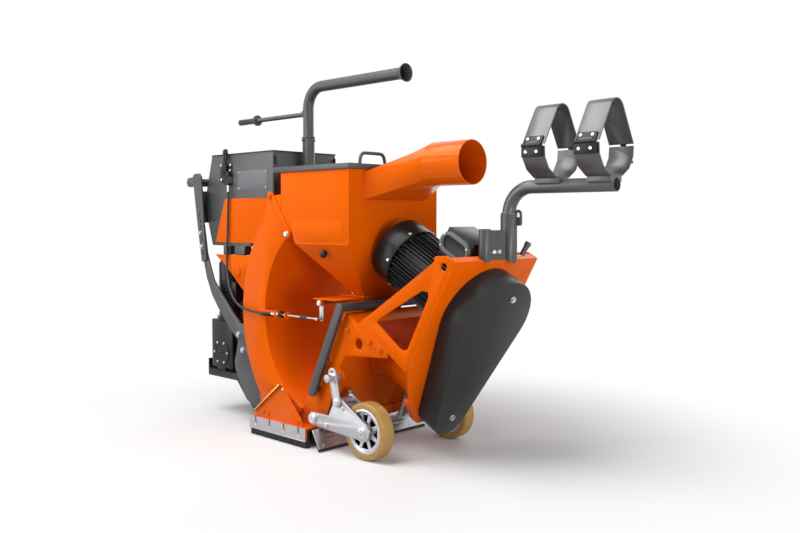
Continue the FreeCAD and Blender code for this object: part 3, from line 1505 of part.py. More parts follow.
doc.recompute()
for thing in doc.Objects:
    if "Invalid" in thing.State or "Error" in thing.State:
        raise ValueError("%s did not build: %s" % (thing.Name, thing.State))
os.makedirs("parts", exist_ok=True)
for thing in made:
    if thing.Shape.isNull() or not thing.Shape.isValid():
        raise ValueError("%s has no valid shape" % thing.Label)
    thing.Shape.exportStep("parts/%s.step" % thing.Label)
    room = thing.Shape.BoundBox
    print("%-20s x %8.1f %8.1f  y %7.1f %7.1f  z %7.1f %7.1f  solids %d" % (
        thing.Label, room.XMin, room.XMax, room.YMin, room.YMax, room.ZMin, room.ZMax,
        len(thing.Shape.Solids)))
print(len(made), "pieces")
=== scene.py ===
import math
import json
import random
import bpy
from mathutils import Matrix, Vector


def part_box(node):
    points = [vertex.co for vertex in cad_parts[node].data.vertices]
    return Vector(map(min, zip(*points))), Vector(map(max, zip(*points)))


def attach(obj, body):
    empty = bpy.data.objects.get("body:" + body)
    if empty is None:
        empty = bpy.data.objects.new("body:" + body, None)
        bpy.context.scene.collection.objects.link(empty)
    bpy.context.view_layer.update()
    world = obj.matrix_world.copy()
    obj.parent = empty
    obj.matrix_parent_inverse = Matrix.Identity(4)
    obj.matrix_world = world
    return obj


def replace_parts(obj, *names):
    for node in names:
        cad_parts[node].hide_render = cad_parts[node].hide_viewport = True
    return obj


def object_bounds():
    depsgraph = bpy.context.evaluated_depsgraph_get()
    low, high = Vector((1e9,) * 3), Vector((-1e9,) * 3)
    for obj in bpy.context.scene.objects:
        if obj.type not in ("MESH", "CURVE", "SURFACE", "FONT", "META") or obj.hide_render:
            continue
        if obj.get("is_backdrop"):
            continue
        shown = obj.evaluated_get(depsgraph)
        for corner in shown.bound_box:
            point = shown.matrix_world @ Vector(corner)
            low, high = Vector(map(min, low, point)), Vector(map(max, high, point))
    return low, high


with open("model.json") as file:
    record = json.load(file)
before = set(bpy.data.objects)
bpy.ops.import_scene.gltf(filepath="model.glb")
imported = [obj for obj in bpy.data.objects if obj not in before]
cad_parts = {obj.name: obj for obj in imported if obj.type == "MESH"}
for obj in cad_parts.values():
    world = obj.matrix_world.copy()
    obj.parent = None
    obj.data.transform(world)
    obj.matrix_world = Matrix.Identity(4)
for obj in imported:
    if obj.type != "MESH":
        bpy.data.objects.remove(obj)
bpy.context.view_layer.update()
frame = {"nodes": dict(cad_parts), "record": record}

# %% [markdown]
# # A walk-behind floor blaster, dressed in its finishes
#
# The machine throws steel shot at a concrete floor, sucks it back up a curved duct and throws it again.
# Its working parts are already in place, each on the body that it moves with. What is left is what the
# eye reads: rounded sheet edges, bolts, bristles, rubber and paint.
#
# Every place is given as on the maker's drawing, in millimetres from the front axle. That keeps the
# numbers short and lets one helper turn them into metres.

# %% Places on the drawing
AXLE_X = sum(corner.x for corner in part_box("wheel_near")) / 2
PLATE_LEAN = math.radians(29)
PLATE_TOP = (389, 688)
MOTOR_UP = -195


def at(x, y, z):
    """A place on the drawing, in metres."""
    return Vector((x / 1000 + AXLE_X, y / 1000, z / 1000))


def on_plate(n, y, u):
    """A place on the leaning front plate: n out of it, y across, u up along it."""
    cos, sin = math.cos(PLATE_LEAN), math.sin(PLATE_LEAN)
    return at(PLATE_TOP[0] + n * cos + u * sin, y, PLATE_TOP[1] - n * sin + u * cos)


PLATE_OUT = (on_plate(1000, 0, 0) - on_plate(0, 0, 0)).normalized()
print("front axle at x = %.3f m, plate faces" % AXLE_X, [round(v, 3) for v in PLATE_OUT])

# %% [markdown]
# ## The camera
#
# A product picture is taken from a little above waist height, off the machine's front corner. A lens
# near 39 mm keeps the long body in proportion. A camera can be aimed with a constraint on an empty, but
# that leaves a second object to look after. Here it looks along one fixed line, so a tracking
# quaternion turns it once and it needs nothing else.

# %% Camera
eye = Vector((2.302, -2.233, 0.822))
look = Vector((-0.6967, 0.7151, -0.0547))
camera_data = bpy.data.cameras.new("corner_view")
camera_data.lens = 39.05
camera_data.sensor_width = 36
camera = bpy.data.objects.new("corner_view", camera_data)
camera.location = eye
camera.rotation_mode = "QUATERNION"
camera.rotation_quaternion = look.to_track_quat("-Z", "Y")
bpy.context.collection.objects.link(camera)
bpy.context.scene.camera = camera
print("camera stands %.2f m from the middle of the machine" % eye.length)

# %% [markdown]
# ## The control cable
#
# A sheathed cable runs from the shot lever on the control box down to a stop on the curved duct, and
# pulls the rod that turns the shot valve. It hangs between its two ends in one lazy curve. It could be
# a cylinder with a bend on it, but then its length would be hard to keep. A spline through a few
# listed points bends the way a stiff cable does, and stays a curve, so that its length and its
# tightest bend can be measured. Each point carries the cable's radius.

# %% Control cable
def smooth_line(name, points, radius, roundness):
    """A round bar of a radius in metres, along a smooth spline through places on the drawing."""
    line = bpy.data.curves.new(name, "CURVE")
    line.dimensions = "3D"
    line.bevel_depth = 1.0
    line.bevel_resolution = roundness
    line.use_fill_caps = True
    spline = line.splines.new("NURBS")
    spline.points.add(len(points) - 1)
    for point, place in zip(spline.points, points):
        point.co = (*at(*place), 1)
        point.radius = radius
    spline.order_u = 3
    spline.use_endpoint_u = True
    piece = bpy.data.objects.new(name, line)
    bpy.context.collection.objects.link(piece)
    return piece


CABLE_RADIUS = 0.0045
CABLE_POINTS = [(-870, -172, 959.7), (-871, -171, 912), (-874, -172, 852), (-878, -171, 792),
                (-882, -172, 732), (-882, -175, 672), (-870, -183, 614), (-838, -199, 560),
                (-790, -216, 515), (-734, -230, 486), (-676, -238, 471), (-617, -237, 464),
                (-556, -236, 463), (-510, -235, 465), (-478.3, -235, 466)]
cable = smooth_line("control_cable", CABLE_POINTS, CABLE_RADIUS, 6)
cable.data.resolution_u = 10
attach(cable, "frame")
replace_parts(cable, "bowden_cable")
print("cable points:", len(CABLE_POINTS))

# %% [markdown]
# ## The floor
#
# The machine stands on a plain white sweep. Only one flat plane is needed. It could be pure white all
# over, but then no shadow would show and it would throw light up at the machine. So it is a grey matte
# that takes the shadow close by, and fades to pure white with distance, where it meets the white air.
# The white is only for what is looked at, which a light path node tells apart, so it adds no light.

# %% Light that is looked at
def seen_directly(tree):
    """1 for what is looked at straight, in a mirror or through glass, and 0 for light that spreads."""
    ray = tree.nodes.new("ShaderNodeLightPath")
    total = ray.outputs["Is Camera Ray"]
    for label in ("Is Glossy Ray", "Is Transmission Ray"):
        larger = tree.nodes.new("ShaderNodeMath")
        larger.operation = "MAXIMUM"
        tree.links.new(total, larger.inputs[0])
        tree.links.new(ray.outputs[label], larger.inputs[1])
        total = larger.outputs[0]
    return total


# %% White sweep
FADE_START, FADE_END = 0.7, 1.7
bpy.ops.mesh.primitive_plane_add(size=24, location=(0, 0, 0))
sweep = bpy.context.object
sweep.name = "sweep_floor"
sweep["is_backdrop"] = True
floor_finish = bpy.data.materials.new("sweep_floor")
floor_finish.use_nodes = True
sweep.data.materials.append(floor_finish)
tree = floor_finish.node_tree
tree.nodes.remove(tree.nodes["Principled BSDF"])
matte, glow, place, reach, fade, both, shade, blend = [
    tree.nodes.new("ShaderNode" + kind) for kind in (
        "BsdfDiffuse", "Emission", "TexCoord", "VectorMath", "MapRange", "Math", "Mix", "MixShader")]
shade.data_type = "RGBA"
shade.inputs[6].default_value = (0.44, 0.43, 0.43, 1)
shade.inputs[7].default_value = (0.72, 0.715, 0.715, 1)
glow.inputs["Color"].default_value = (1, 1, 1, 1)
glow.inputs["Strength"].default_value = 1.0
reach.operation = "LENGTH"
fade.interpolation_type = "SMOOTHSTEP"
fade.inputs["From Min"].default_value = FADE_START
fade.inputs["From Max"].default_value = FADE_END
both.operation = "MULTIPLY"
seen = seen_directly(tree)
for source, target in (
        (place.outputs["Object"], reach.inputs[0]), (reach.outputs["Value"], fade.inputs["Value"]),
        (fade.outputs["Result"], both.inputs[0]), (seen, both.inputs[1]),
        (both.outputs[0], blend.inputs["Fac"]), (seen, shade.inputs[0]),
        (shade.outputs[2], matte.inputs["Color"]), (matte.outputs[0], blend.inputs[1]),
        (glow.outputs[0], blend.inputs[2]),
        (blend.outputs[0], tree.nodes["Material Output"].inputs["Surface"])):
    tree.links.new(source, target)
print("floor turns white between %.1f and %.1f m" % (FADE_START, FADE_END))

# %% [markdown]
# ## The air
#
# Air far away is what fills the rest of the view. It is a pale, weak light for the machine and pure
# white for the eye. A picture of a studio could light it more richly, but two plain colours are enough
# for sheet metal under soft boxes, and they need no file.

# %% White air
world = bpy.data.worlds.new("white_air")
bpy.context.scene.world = world
bpy.context.scene.view_settings.view_transform = "Standard"
world.use_nodes = True
tree = world.node_tree
air = tree.nodes["Background"]
air.inputs["Color"].default_value = (0.95, 0.97, 1.0, 1)
air.inputs["Strength"].default_value = 0.30
white = tree.nodes.new("ShaderNodeBackground")
white.inputs["Color"].default_value = (1, 1, 1, 1)
white.inputs["Strength"].default_value = 1.0
pick = tree.nodes.new("ShaderNodeMixShader")
tree.links.new(seen_directly(tree), pick.inputs["Fac"])
tree.links.new(air.outputs[0], pick.inputs[1])
tree.links.new(white.outputs[0], pick.inputs[2])
tree.links.new(pick.outputs[0], tree.nodes["World Output"].inputs["Surface"])
print("air lights the machine at %.2f" % air.inputs["Strength"].default_value)

# %% [markdown]
# ## The lamps
#
# Sheet metal is shaped by broad soft lights. A wide box overhead and one to the left do most of the
# work. Two weaker ones lift the front and the far side, and a small low one in front reaches under the
# sloping panels. Area lamps are used in place of glowing panels, because they give less grain.

# %% Lamps
LAMPS = {  # name: place, what it looks at, width in metres, power in watts
    "overhead_box": ((-0.6, -1.5, 3.4), (0, 0, 0.5), 2.6, 128),
    "left_box": ((-2.2, -3.4, 1.5), (0, 0, 0.7), 2.4, 68),
    "front_box": ((3.6, 0.4, 1.5), (0.2, 0, 0.6), 2.0, 40),
    "low_box": ((2.9, -1.0, 0.40), (0.6, 0, 0.5), 0.7, 26),
    "far_box": ((-0.5, 3.2, 2.4), (0, 0, 0.6), 2.4, 34),
}
for name, (place, aim, wide, power) in LAMPS.items():
    light = bpy.data.lights.new(name, "AREA")
    light.size = wide
    light.energy = power
    holder = bpy.data.objects.new(name, light)
    holder.location = place
    holder.rotation_mode = "QUATERNION"
    holder.rotation_quaternion = (Vector(aim) - Vector(place)).to_track_quat("-Z", "Y")
    bpy.context.collection.objects.link(holder)
print("lamps:", ", ".join(LAMPS))

# %% [markdown]
# ## How a finish is put together
#
# Real paint is never one flat colour. It drifts a little from panel to panel, has the faint skin of
# sprayed powder, catches dust low down and wears thin along edges. Painted pictures could show that,
# but they would need unwrapped pieces and files. Each finish below is built from nodes instead, out of
# the same few layers: broad drift, fine grain, worn edges, and a grain that also lifts the surface. A
# small class keeps the node trees short to write. Numbers that are the same all over sit on the
# shader's own sockets.

# %% Finish builder
class Finish:
    """A material whose layers all read the piece's own coordinates."""

    def __init__(self, name, **sockets):
        self.material = bpy.data.materials.new(name)
        self.material.use_nodes = True
        self.tree = self.material.node_tree
        self.shader = self.tree.nodes["Principled BSDF"]
        for socket, value in sockets.items():
            self.shader.inputs[socket.replace("_", " ")].default_value = value
        self.place = self.add("TexCoord").outputs["Object"]

    def add(self, kind, inputs=None, **settings):
        node = self.tree.nodes.new("ShaderNode" + kind)
        for key, value in settings.items():
            setattr(node, key, value)
        for key, value in (inputs or {}).items():
            self.give(node.inputs[key], value)
        return node

    def give(self, socket, value):
        if isinstance(value, bpy.types.NodeSocket):
            self.tree.links.new(value, socket)
        else:
            socket.default_value = value

    def noise(self, scale, detail=3, rough=0.5, place=None):
        return self.add("TexNoise", {"Vector": place or self.place, "Scale": scale, "Detail": detail,
                                     "Roughness": rough}).outputs["Fac"]

    def span(self, value, low, high, to_low=0.0, to_high=1.0):
        """The part of a value between low and high, spread over a new range."""
        return self.add("MapRange", {"Value": value, "From Min": low, "From Max": high, "To Min": to_low,
                                     "To Max": to_high}).outputs["Result"]

    def math(self, operation, a, b):
        return self.add("Math", {0: a, 1: b}, operation=operation).outputs[0]

    def mix(self, amount, a, b):
        node = self.add("Mix", data_type="RGBA")
        self.give(node.inputs["Factor"], amount)
        self.give(node.inputs[6], a)
        self.give(node.inputs[7], b)
        return node.outputs[2]

    def edges(self, radius):
        """1 along edges and 0 on open faces."""
        rounded = self.add("Bevel", {"Radius": radius}, samples=4).outputs[0]
        flat = self.add("NewGeometry").outputs["Normal"]
        same = self.add("VectorMath", {0: rounded, 1: flat}, operation="DOT_PRODUCT").outputs["Value"]
        return self.span(same, 0.985, 0.80)

    def low_down(self, low, high):
        """1 near the floor, 0 above."""
        return self.span(self.add("SeparateXYZ", {0: self.place}).outputs["Z"], high, low)

    def colour(self, value):
        self.give(self.shader.inputs["Base Color"], value)

    def gloss(self, value):
        self.give(self.shader.inputs["Roughness"], value)

    def relief(self, height, strength, depth):
        bump = self.add("Bump", {"Height": height, "Strength": strength, "Distance": depth})
        self.give(self.shader.inputs["Normal"], bump.outputs["Normal"])


def tint(colour, factor):
    """A colour made lighter or darker."""
    return (*[min(1.0, part * factor) for part in colour], 1)


# %% [markdown]
# ## Powder coat
#
# The orange panels and the dark grey guards are steel sheet, sprayed with powder and baked. The skin is
# smooth with a faint orange-peel ripple. It is thinnest on cut edges, where it looks paler, and a few
# knocks show bare steel. Dust settles on the lowest part, because this machine works in it. Each colour
# could have its own node tree, but they differ only in gloss, in the number of knocks and in the colour
# of their shine, so one function makes them all. The orange has a warm shine, which keeps it deep under
# white lamps.

# %% Powder coat
def powder_coat(name, colour, rough, coat, knocks=0.62, shine=0.12, glint=(1, 1, 1, 1)):
    finish = Finish(name, Coat_Weight=coat, Coat_Roughness=0.12, Specular_IOR_Level=shine,
                    Specular_Tint=glint)
    drift = finish.span(finish.noise(2.3, 2), 0.3, 0.7)
    body = finish.mix(drift, tint(colour, 0.94), tint(colour, 1.04))
    grain = finish.noise(900, 2)
    body = finish.mix(finish.span(grain, 0.3, 0.9, 0, 0.12), body, tint(colour, 0.8))
    edge = finish.edges(0.0022)
    pale = tint([c * 0.9 + 0.06 for c in colour], 1.15)
    body = finish.mix(finish.math("MULTIPLY", edge, 0.35), body, pale)
    patches = finish.span(finish.noise(38, 4, 0.65), knocks, knocks + 0.05)
    bare = finish.math("MULTIPLY", edge, patches)
    body = finish.mix(bare, body, (0.42, 0.42, 0.43, 1))
    drifts = finish.span(finish.noise(14, 5, 0.6), 0.35, 0.8)
    dust = finish.math("MULTIPLY", finish.low_down(0.0, 0.22), drifts)
    body = finish.mix(finish.math("MULTIPLY", dust, 0.25), body, (0.36, 0.33, 0.3, 1))
    finish.colour(body)
    finish.gloss(finish.math("ADD", finish.span(finish.noise(6, 3), 0.3, 0.7, rough - 0.03, rough + 0.05),
                             finish.math("MULTIPLY", dust, 0.2)))
    finish.relief(finish.noise(420, 3, 0.55), 0.12, 0.0004)
    return finish.material


# %% Coats
ORANGE = (0.72, 0.106, 0.0004)
WARM = (1.0, 0.45, 0.08, 1)
GREY = (0.046, 0.0455, 0.045)
COVER_GREY = (0.031, 0.0305, 0.03)
RING_GREY = (0.050, 0.0495, 0.049)
BLACK = (0.008, 0.009, 0.010)
orange_paint = powder_coat("orange_powder_coat", ORANGE, 0.30, 0.0, shine=0.05, glint=WARM)
duct_paint = powder_coat("orange_gloss_coat", ORANGE, 0.20, 0.12, shine=0.25, glint=WARM)
grey_paint = powder_coat("grey_powder_coat", GREY, 0.40, 0.0, 0.66, 0.5)
cover_paint = powder_coat("grey_cover_coat", COVER_GREY, 0.33, 0.0, 0.66, 0.12)
ring_paint = powder_coat("grey_satin_coat", RING_GREY, 0.36, 0.12, 0.66, 0.75)
black_paint = powder_coat("black_enamel", BLACK, 0.34, 0.03, 0.70, 0.2)
coats = [orange_paint, duct_paint, grey_paint, cover_paint, ring_paint, black_paint]
print("coats:", ", ".join(coat.name for coat in coats))

# %% [markdown]
# ## Bare metals
#
# The forks and bolts are zinc plated: a cool grey with a soft mottle and the odd darker stain. The
# front flap is sheet from the mill, with faint streaks along its length. The rims are cast aluminium
# faced on a lathe, so fine rings run round the axle. The hard iron inside is the darkest. One metal in
# a few greys would do for small heads, but not for the flap and the rims, where the grain shows how
# they were made. The mottle comes from small cells, the streaks from noise that is stretched along one
# direction, and the rings from a wave pattern whose middle is moved to the axle.

# %% Plated metal
def plated_metal(name, colour, rough, mottle, stain):
    finish = Finish(name, Metallic=1.0)
    spangle = finish.add("TexVoronoi", {"Vector": finish.place, "Scale": mottle}).outputs["Color"]
    body = finish.mix(0.10, tint(colour, 1.0), spangle)
    body = finish.mix(0.75, body, tint(colour, 1.0))
    body = finish.mix(finish.span(finish.noise(26, 5, 0.6), 0.52, 0.85, 0, stain), body, tint(colour, 0.42))
    body = finish.mix(finish.math("MULTIPLY", finish.edges(0.0015), 0.4), body, tint(colour, 1.35))
    finish.colour(body)
    finish.gloss(finish.span(finish.noise(60, 4), 0.25, 0.75, rough - 0.06, rough + 0.1))
    finish.relief(finish.noise(700, 2), 0.08, 0.0003)
    return finish.material


# %% Rolled metal
def rolled_metal(name, colour, rough):
    """Sheet with faint streaks along y, as it comes from the mill."""
    finish = Finish(name, Metallic=1.0)
    along = finish.add("Mapping", {"Vector": finish.place, "Scale": (1.0, 0.04, 1.0)}).outputs[0]
    streaks = finish.add("TexNoise", {"Vector": along, "Scale": 130.0, "Detail": 3.0}).outputs["Fac"]
    body = finish.mix(finish.span(streaks, 0.3, 0.7, 0, 0.4), tint(colour, 1.0), tint(colour, 0.7))
    body = finish.mix(finish.span(finish.noise(20, 4, 0.6), 0.55, 0.85, 0, 0.12), body, tint(colour, 0.5))
    body = finish.mix(finish.math("MULTIPLY", finish.edges(0.0015), 0.3), body, tint(colour, 1.3))
    finish.colour(body)
    finish.gloss(finish.span(streaks, 0.3, 0.7, rough - 0.05, rough + 0.07))
    finish.relief(streaks, 0.06, 0.0002)
    return finish.material


# %% Turned metal
def turned_metal(name, centre, colour, rough):
    """Metal faced on a lathe about an axis along y through centre."""
    finish = Finish(name, Metallic=1.0)
    hub = finish.add("Mapping", {"Vector": finish.place,
                                 "Location": [-part for part in centre]}).outputs[0]
    rings = finish.add("TexWave", {"Vector": hub, "Scale": 160.0, "Distortion": 0.6, "Detail": 2.0},
                       wave_type="RINGS", rings_direction="Y").outputs["Fac"]
    body = finish.mix(finish.span(rings, 0, 1, 0, 0.25), tint(colour, 1.05), tint(colour, 0.75))
    body = finish.mix(finish.span(finish.noise(30, 5, 0.6), 0.5, 0.85, 0, 0.35), body, tint(colour, 0.5))
    body = finish.mix(finish.math("MULTIPLY", finish.edges(0.002), 0.3), body, tint(colour, 1.3))
    finish.colour(body)
    finish.gloss(finish.span(rings, 0, 1, rough - 0.04, rough + 0.08))
    finish.relief(rings, 0.1, 0.0002)
    return finish.material


# %% Metals
zinc = plated_metal("zinc_plate", (0.42, 0.42, 0.445), 0.48, 240, 0.22)
bright_zinc = plated_metal("bright_zinc", (0.60, 0.60, 0.61), 0.30, 300, 0.2)
flap_steel = rolled_metal("flap_steel", (0.47, 0.46, 0.46), 0.30)
steel = plated_metal("machined_steel", (0.46, 0.46, 0.47), 0.34, 500, 0.4)
hard_iron = plated_metal("hard_iron", (0.19, 0.175, 0.16), 0.55, 180, 0.7)
strip_aluminium = plated_metal("strip_aluminium", (0.40, 0.41, 0.43), 0.46, 60, 0.25)
warm_edge = plated_metal("passivated_edge", (0.72, 0.44, 0.10), 0.34, 200, 0.3)
rim_finish = {}
for side in ("near", "far"):
    low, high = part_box("wheel_" + side)
    rim_finish[side] = turned_metal("rim_aluminium_" + side, (low + high) / 2, (0.50, 0.50, 0.53), 0.36)
metals = [zinc, bright_zinc, flap_steel, steel, hard_iron, strip_aluminium, warm_edge, *rim_finish.values()]
print("metals:", ", ".join(metal.name for metal in metals))

# %% [markdown]
# ## Rubber, polyurethane and bristle
#
# The front tyres are amber polyurethane cast on the rims: dense and slightly waxy, with a little light
# passing into it, which subsurface scattering gives. Grips, belts and the drive wheel are black rubber,
# never quite black because dust sits on it. The bristles are crimped black nylon. Rubber could be one
# dark grey, but without the dust and the paler edges it reads as a hole in the picture.

# %% Rubber and polyurethane
def black_rubber(name, grain_scale, rough):
    finish = Finish(name, Specular_IOR_Level=0.35)
    dusty = finish.span(finish.noise(18, 5, 0.65), 0.45, 0.85, 0, 0.45)
    body = finish.mix(dusty, (0.016, 0.016, 0.017, 1), (0.055, 0.053, 0.050, 1))
    body = finish.mix(finish.math("MULTIPLY", finish.edges(0.0025), 0.5), body, (0.07, 0.068, 0.066, 1))
    finish.colour(body)
    finish.gloss(finish.span(finish.noise(40, 3), 0.3, 0.7, rough - 0.08, rough + 0.1))
    finish.relief(finish.noise(grain_scale, 3, 0.6), 0.3, 0.0006)
    return finish.material


def polyurethane(name):
    finish = Finish(name, Subsurface_Weight=0.12, Subsurface_Radius=(0.02, 0.01, 0.004),
                    Specular_IOR_Level=0.45)
    clouds = finish.span(finish.noise(16, 4), 0.3, 0.75)
    body = finish.mix(clouds, (0.34, 0.185, 0.045, 1), (0.42, 0.24, 0.065, 1))
    scuffs = finish.span(finish.noise(90, 6, 0.7), 0.58, 0.75, 0, 0.35)
    body = finish.mix(scuffs, body, (0.22, 0.15, 0.08, 1))
    body = finish.mix(finish.math("MULTIPLY", finish.edges(0.003), 0.35), body, (0.58, 0.40, 0.17, 1))
    finish.colour(body)
    finish.gloss(finish.span(finish.noise(35, 4), 0.3, 0.7, 0.3, 0.48))
    finish.relief(finish.noise(260, 4), 0.15, 0.0006)
    return finish.material


# %% Soft goods
rubber = black_rubber("black_rubber", 520, 0.62)
grip_rubber = black_rubber("grip_rubber", 900, 0.5)
sheath = black_rubber("cable_sheath", 700, 0.42)
bristle_nylon = black_rubber("bristle_nylon", 300, 0.5)
tyre_finish = polyurethane("amber_polyurethane")
cable.data.materials.append(sheath)
soft_goods = [rubber, grip_rubber, sheath, bristle_nylon, tyre_finish]
print("soft goods:", ", ".join(soft.name for soft in soft_goods))

# %% [markdown]
# ## Finishes on the frame's own pieces
#
# Every built piece is given its finish here, one row per finish. It could be done piece by piece
# further down, but one table shows at a glance what is painted, plated or moulded. Pieces that keep
# their built shape need nothing more.

# %% Give every built piece its finish
FINISHES = {
    orange_paint: ["blast_housing", "rebound_plenum", "hopper", "hopper_straps", "feed_pipe",
                   "front_plate", "side_braces", "side_skirts", "box_panel", "rear_gussets",
                   "bearing_block"],
    duct_paint: ["dust_duct"],
    flap_steel: ["front_skirt"],
    grey_paint: ["lift_bar", "mast_socket", "mast_tube", "mast_tiller", "carrier_socket", "control_box",
                 "chassis_arms", "hopper_lid", "lid_handle", "handle_frame"],
    cover_paint: ["belt_cover", "terminal_box"],
    ring_paint: ["carrier_tube", "rings_lower", "ring_rear_upper", "ring_front_upper"],
    black_paint: ["motor_body", "motor_cowl", "gear_motor", "drive_gearbox", "rear_tray", "lever_plate",
                  "control_lever", "ring_rear_latch", "ring_front_latch"],
    zinc: ["frame_bolts", "wheel_fork_near", "wheel_fork_far", "fork_link_near", "fork_link_far",
           "valve_arm", "cable_rod"],
    steel: ["motor_rotor", "wheel_spindle", "valve_flap"],
    hard_iron: ["wear_liner", "blast_wheel"],
    rim_finish["near"]: ["wheel_near"],
    rim_finish["far"]: ["wheel_far"],
    tyre_finish: ["tyre_near", "tyre_far"],
    rubber: ["drive_wheel", "drive_belts", "brushes"],
    grip_rubber: ["handle_grips", "tiller_grip"],
    sheath: ["bowden_cable"],
}
NODE_FINISH = {name: finish for finish, names in FINISHES.items() for name in names}
for name, finish in NODE_FINISH.items():
    materials = frame["nodes"][name].data.materials
    materials.clear()
    materials.append(finish)
print("built pieces with a finish: %d of %d" % (len(NODE_FINISH), len(frame["nodes"])))

# %% [markdown]
# ## Rounding what was cut from sheet
#
# Bent and welded sheet has no knife edges: the brake leaves a radius and the coat fills the corner. The
# built pieces have true corners. A bevel node in the finish could fake it, but the outline against the
# air would stay sharp. So each piece in view gets a copy, rounded with a bevel modifier by a millimetre
# or two, and more where it is cast. The copy stands in for the built piece. Flat faces are joined up
# first, so that the rounding runs along whole edges. A wide angle limit leaves the facets of round
# walls alone.

# %% Bodies and slots
BODY_OF = {name: body for body, names in frame["record"]["behaviour"]["bodies"].items() for name in names}
SLOT_OF = {row["node"]: row["material_slot"] for row in frame["record"]["subparts"]}
SLOT_FOR = {finish: SLOT_OF[names[0]] for finish, names in FINISHES.items()}
SLOT_FOR.update({bright_zinc: "zinc_steel", warm_edge: "zinc_steel", strip_aluminium: "rim_aluminium",
                 bristle_nylon: "brush_black"})
print("bodies: %d, slots: %d" % (len(set(BODY_OF.values())), len(set(SLOT_OF.values()))))

# %% [markdown]
# ## Copying and rounding a built piece
#
# An operator acts on all that is selected, so each step first clears the selection and picks the one
# piece. A built piece arrives as loose triangles. Merging its doubles and dissolving its flat seams
# gives the few long edges that a person would have drawn.

# %% Copy and round
def start_clean():
    bpy.ops.object.select_all(action="DESELECT")


def work_on(piece):
    start_clean()
    piece.select_set(True)
    bpy.context.view_layer.objects.active = piece


def built_copy(node):
    """A copy of a built piece, its loose triangles merged and its flat faces joined up."""
    source = frame["nodes"][node]
    mesh = source.data.copy()
    mesh.transform(source.matrix_world)
    mesh.name = node + "_rounded"
    piece = bpy.data.objects.new(mesh.name, mesh)
    bpy.context.collection.objects.link(piece)
    work_on(piece)
    bpy.ops.object.mode_set(mode="EDIT")
    bpy.ops.mesh.select_all(action="SELECT")
    bpy.ops.mesh.remove_doubles(threshold=0.00002)
    bpy.ops.mesh.dissolve_limited(angle_limit=math.radians(0.6))
    bpy.ops.object.mode_set(mode="OBJECT")
    return piece


def round_edges(piece, width, segments=2):
    """Round the corners of a piece by a width in millimetres."""
    work_on(piece)
    bevel = piece.modifiers.new("rounding", "BEVEL")
    bevel.width = width / 1000
    bevel.segments = segments
    bevel.limit_method = "ANGLE"
    bevel.angle_limit = math.radians(34)
    bevel.use_clamp_overlap = False
    bpy.ops.object.modifier_apply(modifier="rounding")
    bpy.ops.object.shade_smooth_by_angle(angle=math.radians(32))


# %% [markdown]
# ## Dressing a piece
#
# A finished piece needs two things beside its shape: its finish and the body that it moves with. One
# function gives both, so that neither is forgotten.

# %% Dress, cut and stand in
def dress(piece, material, body="frame"):
    """Give a piece its finish and the body it moves with."""
    piece.data.materials.clear()
    piece.data.materials.append(material)
    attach(piece, body)
    return piece


def rounded(node, width, cut=(), add=()):
    """A rounded copy that stands in for a built piece. Cutters are taken out and extras joined on first."""
    piece = built_copy(node)
    for cutter in cut:
        take_out(piece, cutter)
    for extra in add:
        take_out(piece, extra, "UNION")
    round_edges(piece, width)
    dress(piece, NODE_FINISH[node], BODY_OF[node])
    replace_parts(piece, node)


def take_out(piece, cutter, way="DIFFERENCE"):
    """Cut one solid out of another, or join it on, and throw the cutter away."""
    work_on(piece)
    saw = piece.modifiers.new("saw", "BOOLEAN")
    saw.operation = way
    saw.solver = "EXACT"
    saw.object = cutter
    bpy.ops.object.modifier_apply(modifier="saw")
    start_clean()
    cutter.select_set(True)
    bpy.ops.object.delete()


# %% Round the built pieces
ROUNDING = {
    "rebound_plenum": 1.4, "hopper": 1.4, "hopper_lid": 1.6, "front_plate": 1.4, "side_braces": 1.2,
    "belt_cover": 2.6, "blast_housing": 1.0, "dust_duct": 0.7, "lift_bar": 2.0, "control_box": 1.6,
    "chassis_arms": 1.2, "rear_gussets": 1.2, "side_skirts": 0.8,
    "front_skirt": 0.7, "feed_pipe": 0.8, "hopper_straps": 1.2, "mast_socket": 0.8, "carrier_socket": 0.8,
    "carrier_tube": 1.0, "rings_lower": 0.7, "ring_rear_upper": 0.9, "ring_front_upper": 0.9,
    "wheel_fork_near": 1.0, "wheel_fork_far": 1.0, "fork_link_near": 1.2, "fork_link_far": 1.2,
    "valve_arm": 0.8, "drive_gearbox": 5.0, "gear_motor": 4.0, "rear_tray": 1.2, "terminal_box": 4.0,
    "lever_plate": 0.8, "control_lever": 1.4, "motor_cowl": 1.0, "wheel_near": 1.4, "wheel_far": 1.4,
    "tyre_near": 2.0, "tyre_far": 2.0, "drive_wheel": 3.0, "mast_tube": 0.9, "mast_tiller": 0.7,
    "frame_bolts": 1.2, "ring_rear_latch": 1.0, "ring_front_latch": 1.0, "bearing_block": 1.2,
}
for node, width in ROUNDING.items():
    rounded(node, width)
print("rounded pieces: %d" % len(ROUNDING))

# %% [markdown]
# ## Hex bolts
#
# Every bolt on the machine is the same thing in a few sizes: a washer, a six-sided head with its
# corners turned off, and a shallow dished top. A plain six-sided cylinder would be enough from far
# away, but the chamfer catches the light and is what makes it read as a bolt. So the cylinder's top is
# levelled with a bisect. An inset of no width copies its edge, which is lifted and drawn in. A second
# pair of insets is sunk for the dish.

# %% Start a piece and join pieces
def solid(kind, name, **shape):
    """A primitive at its size and place, made the active piece."""
    start_clean()
    getattr(bpy.ops.mesh, "primitive_%s_add" % kind)(**shape)
    piece = bpy.context.object
    piece.name = piece.data.name = name
    return piece


def joined(name, *pieces):
    """Several pieces made into one."""
    start_clean()
    for piece in pieces:
        piece.select_set(True)
    bpy.context.view_layer.objects.active = pieces[0]
    if len(pieces) > 1:
        bpy.ops.object.join()
    pieces[0].name = pieces[0].data.name = name
    return pieces[0]


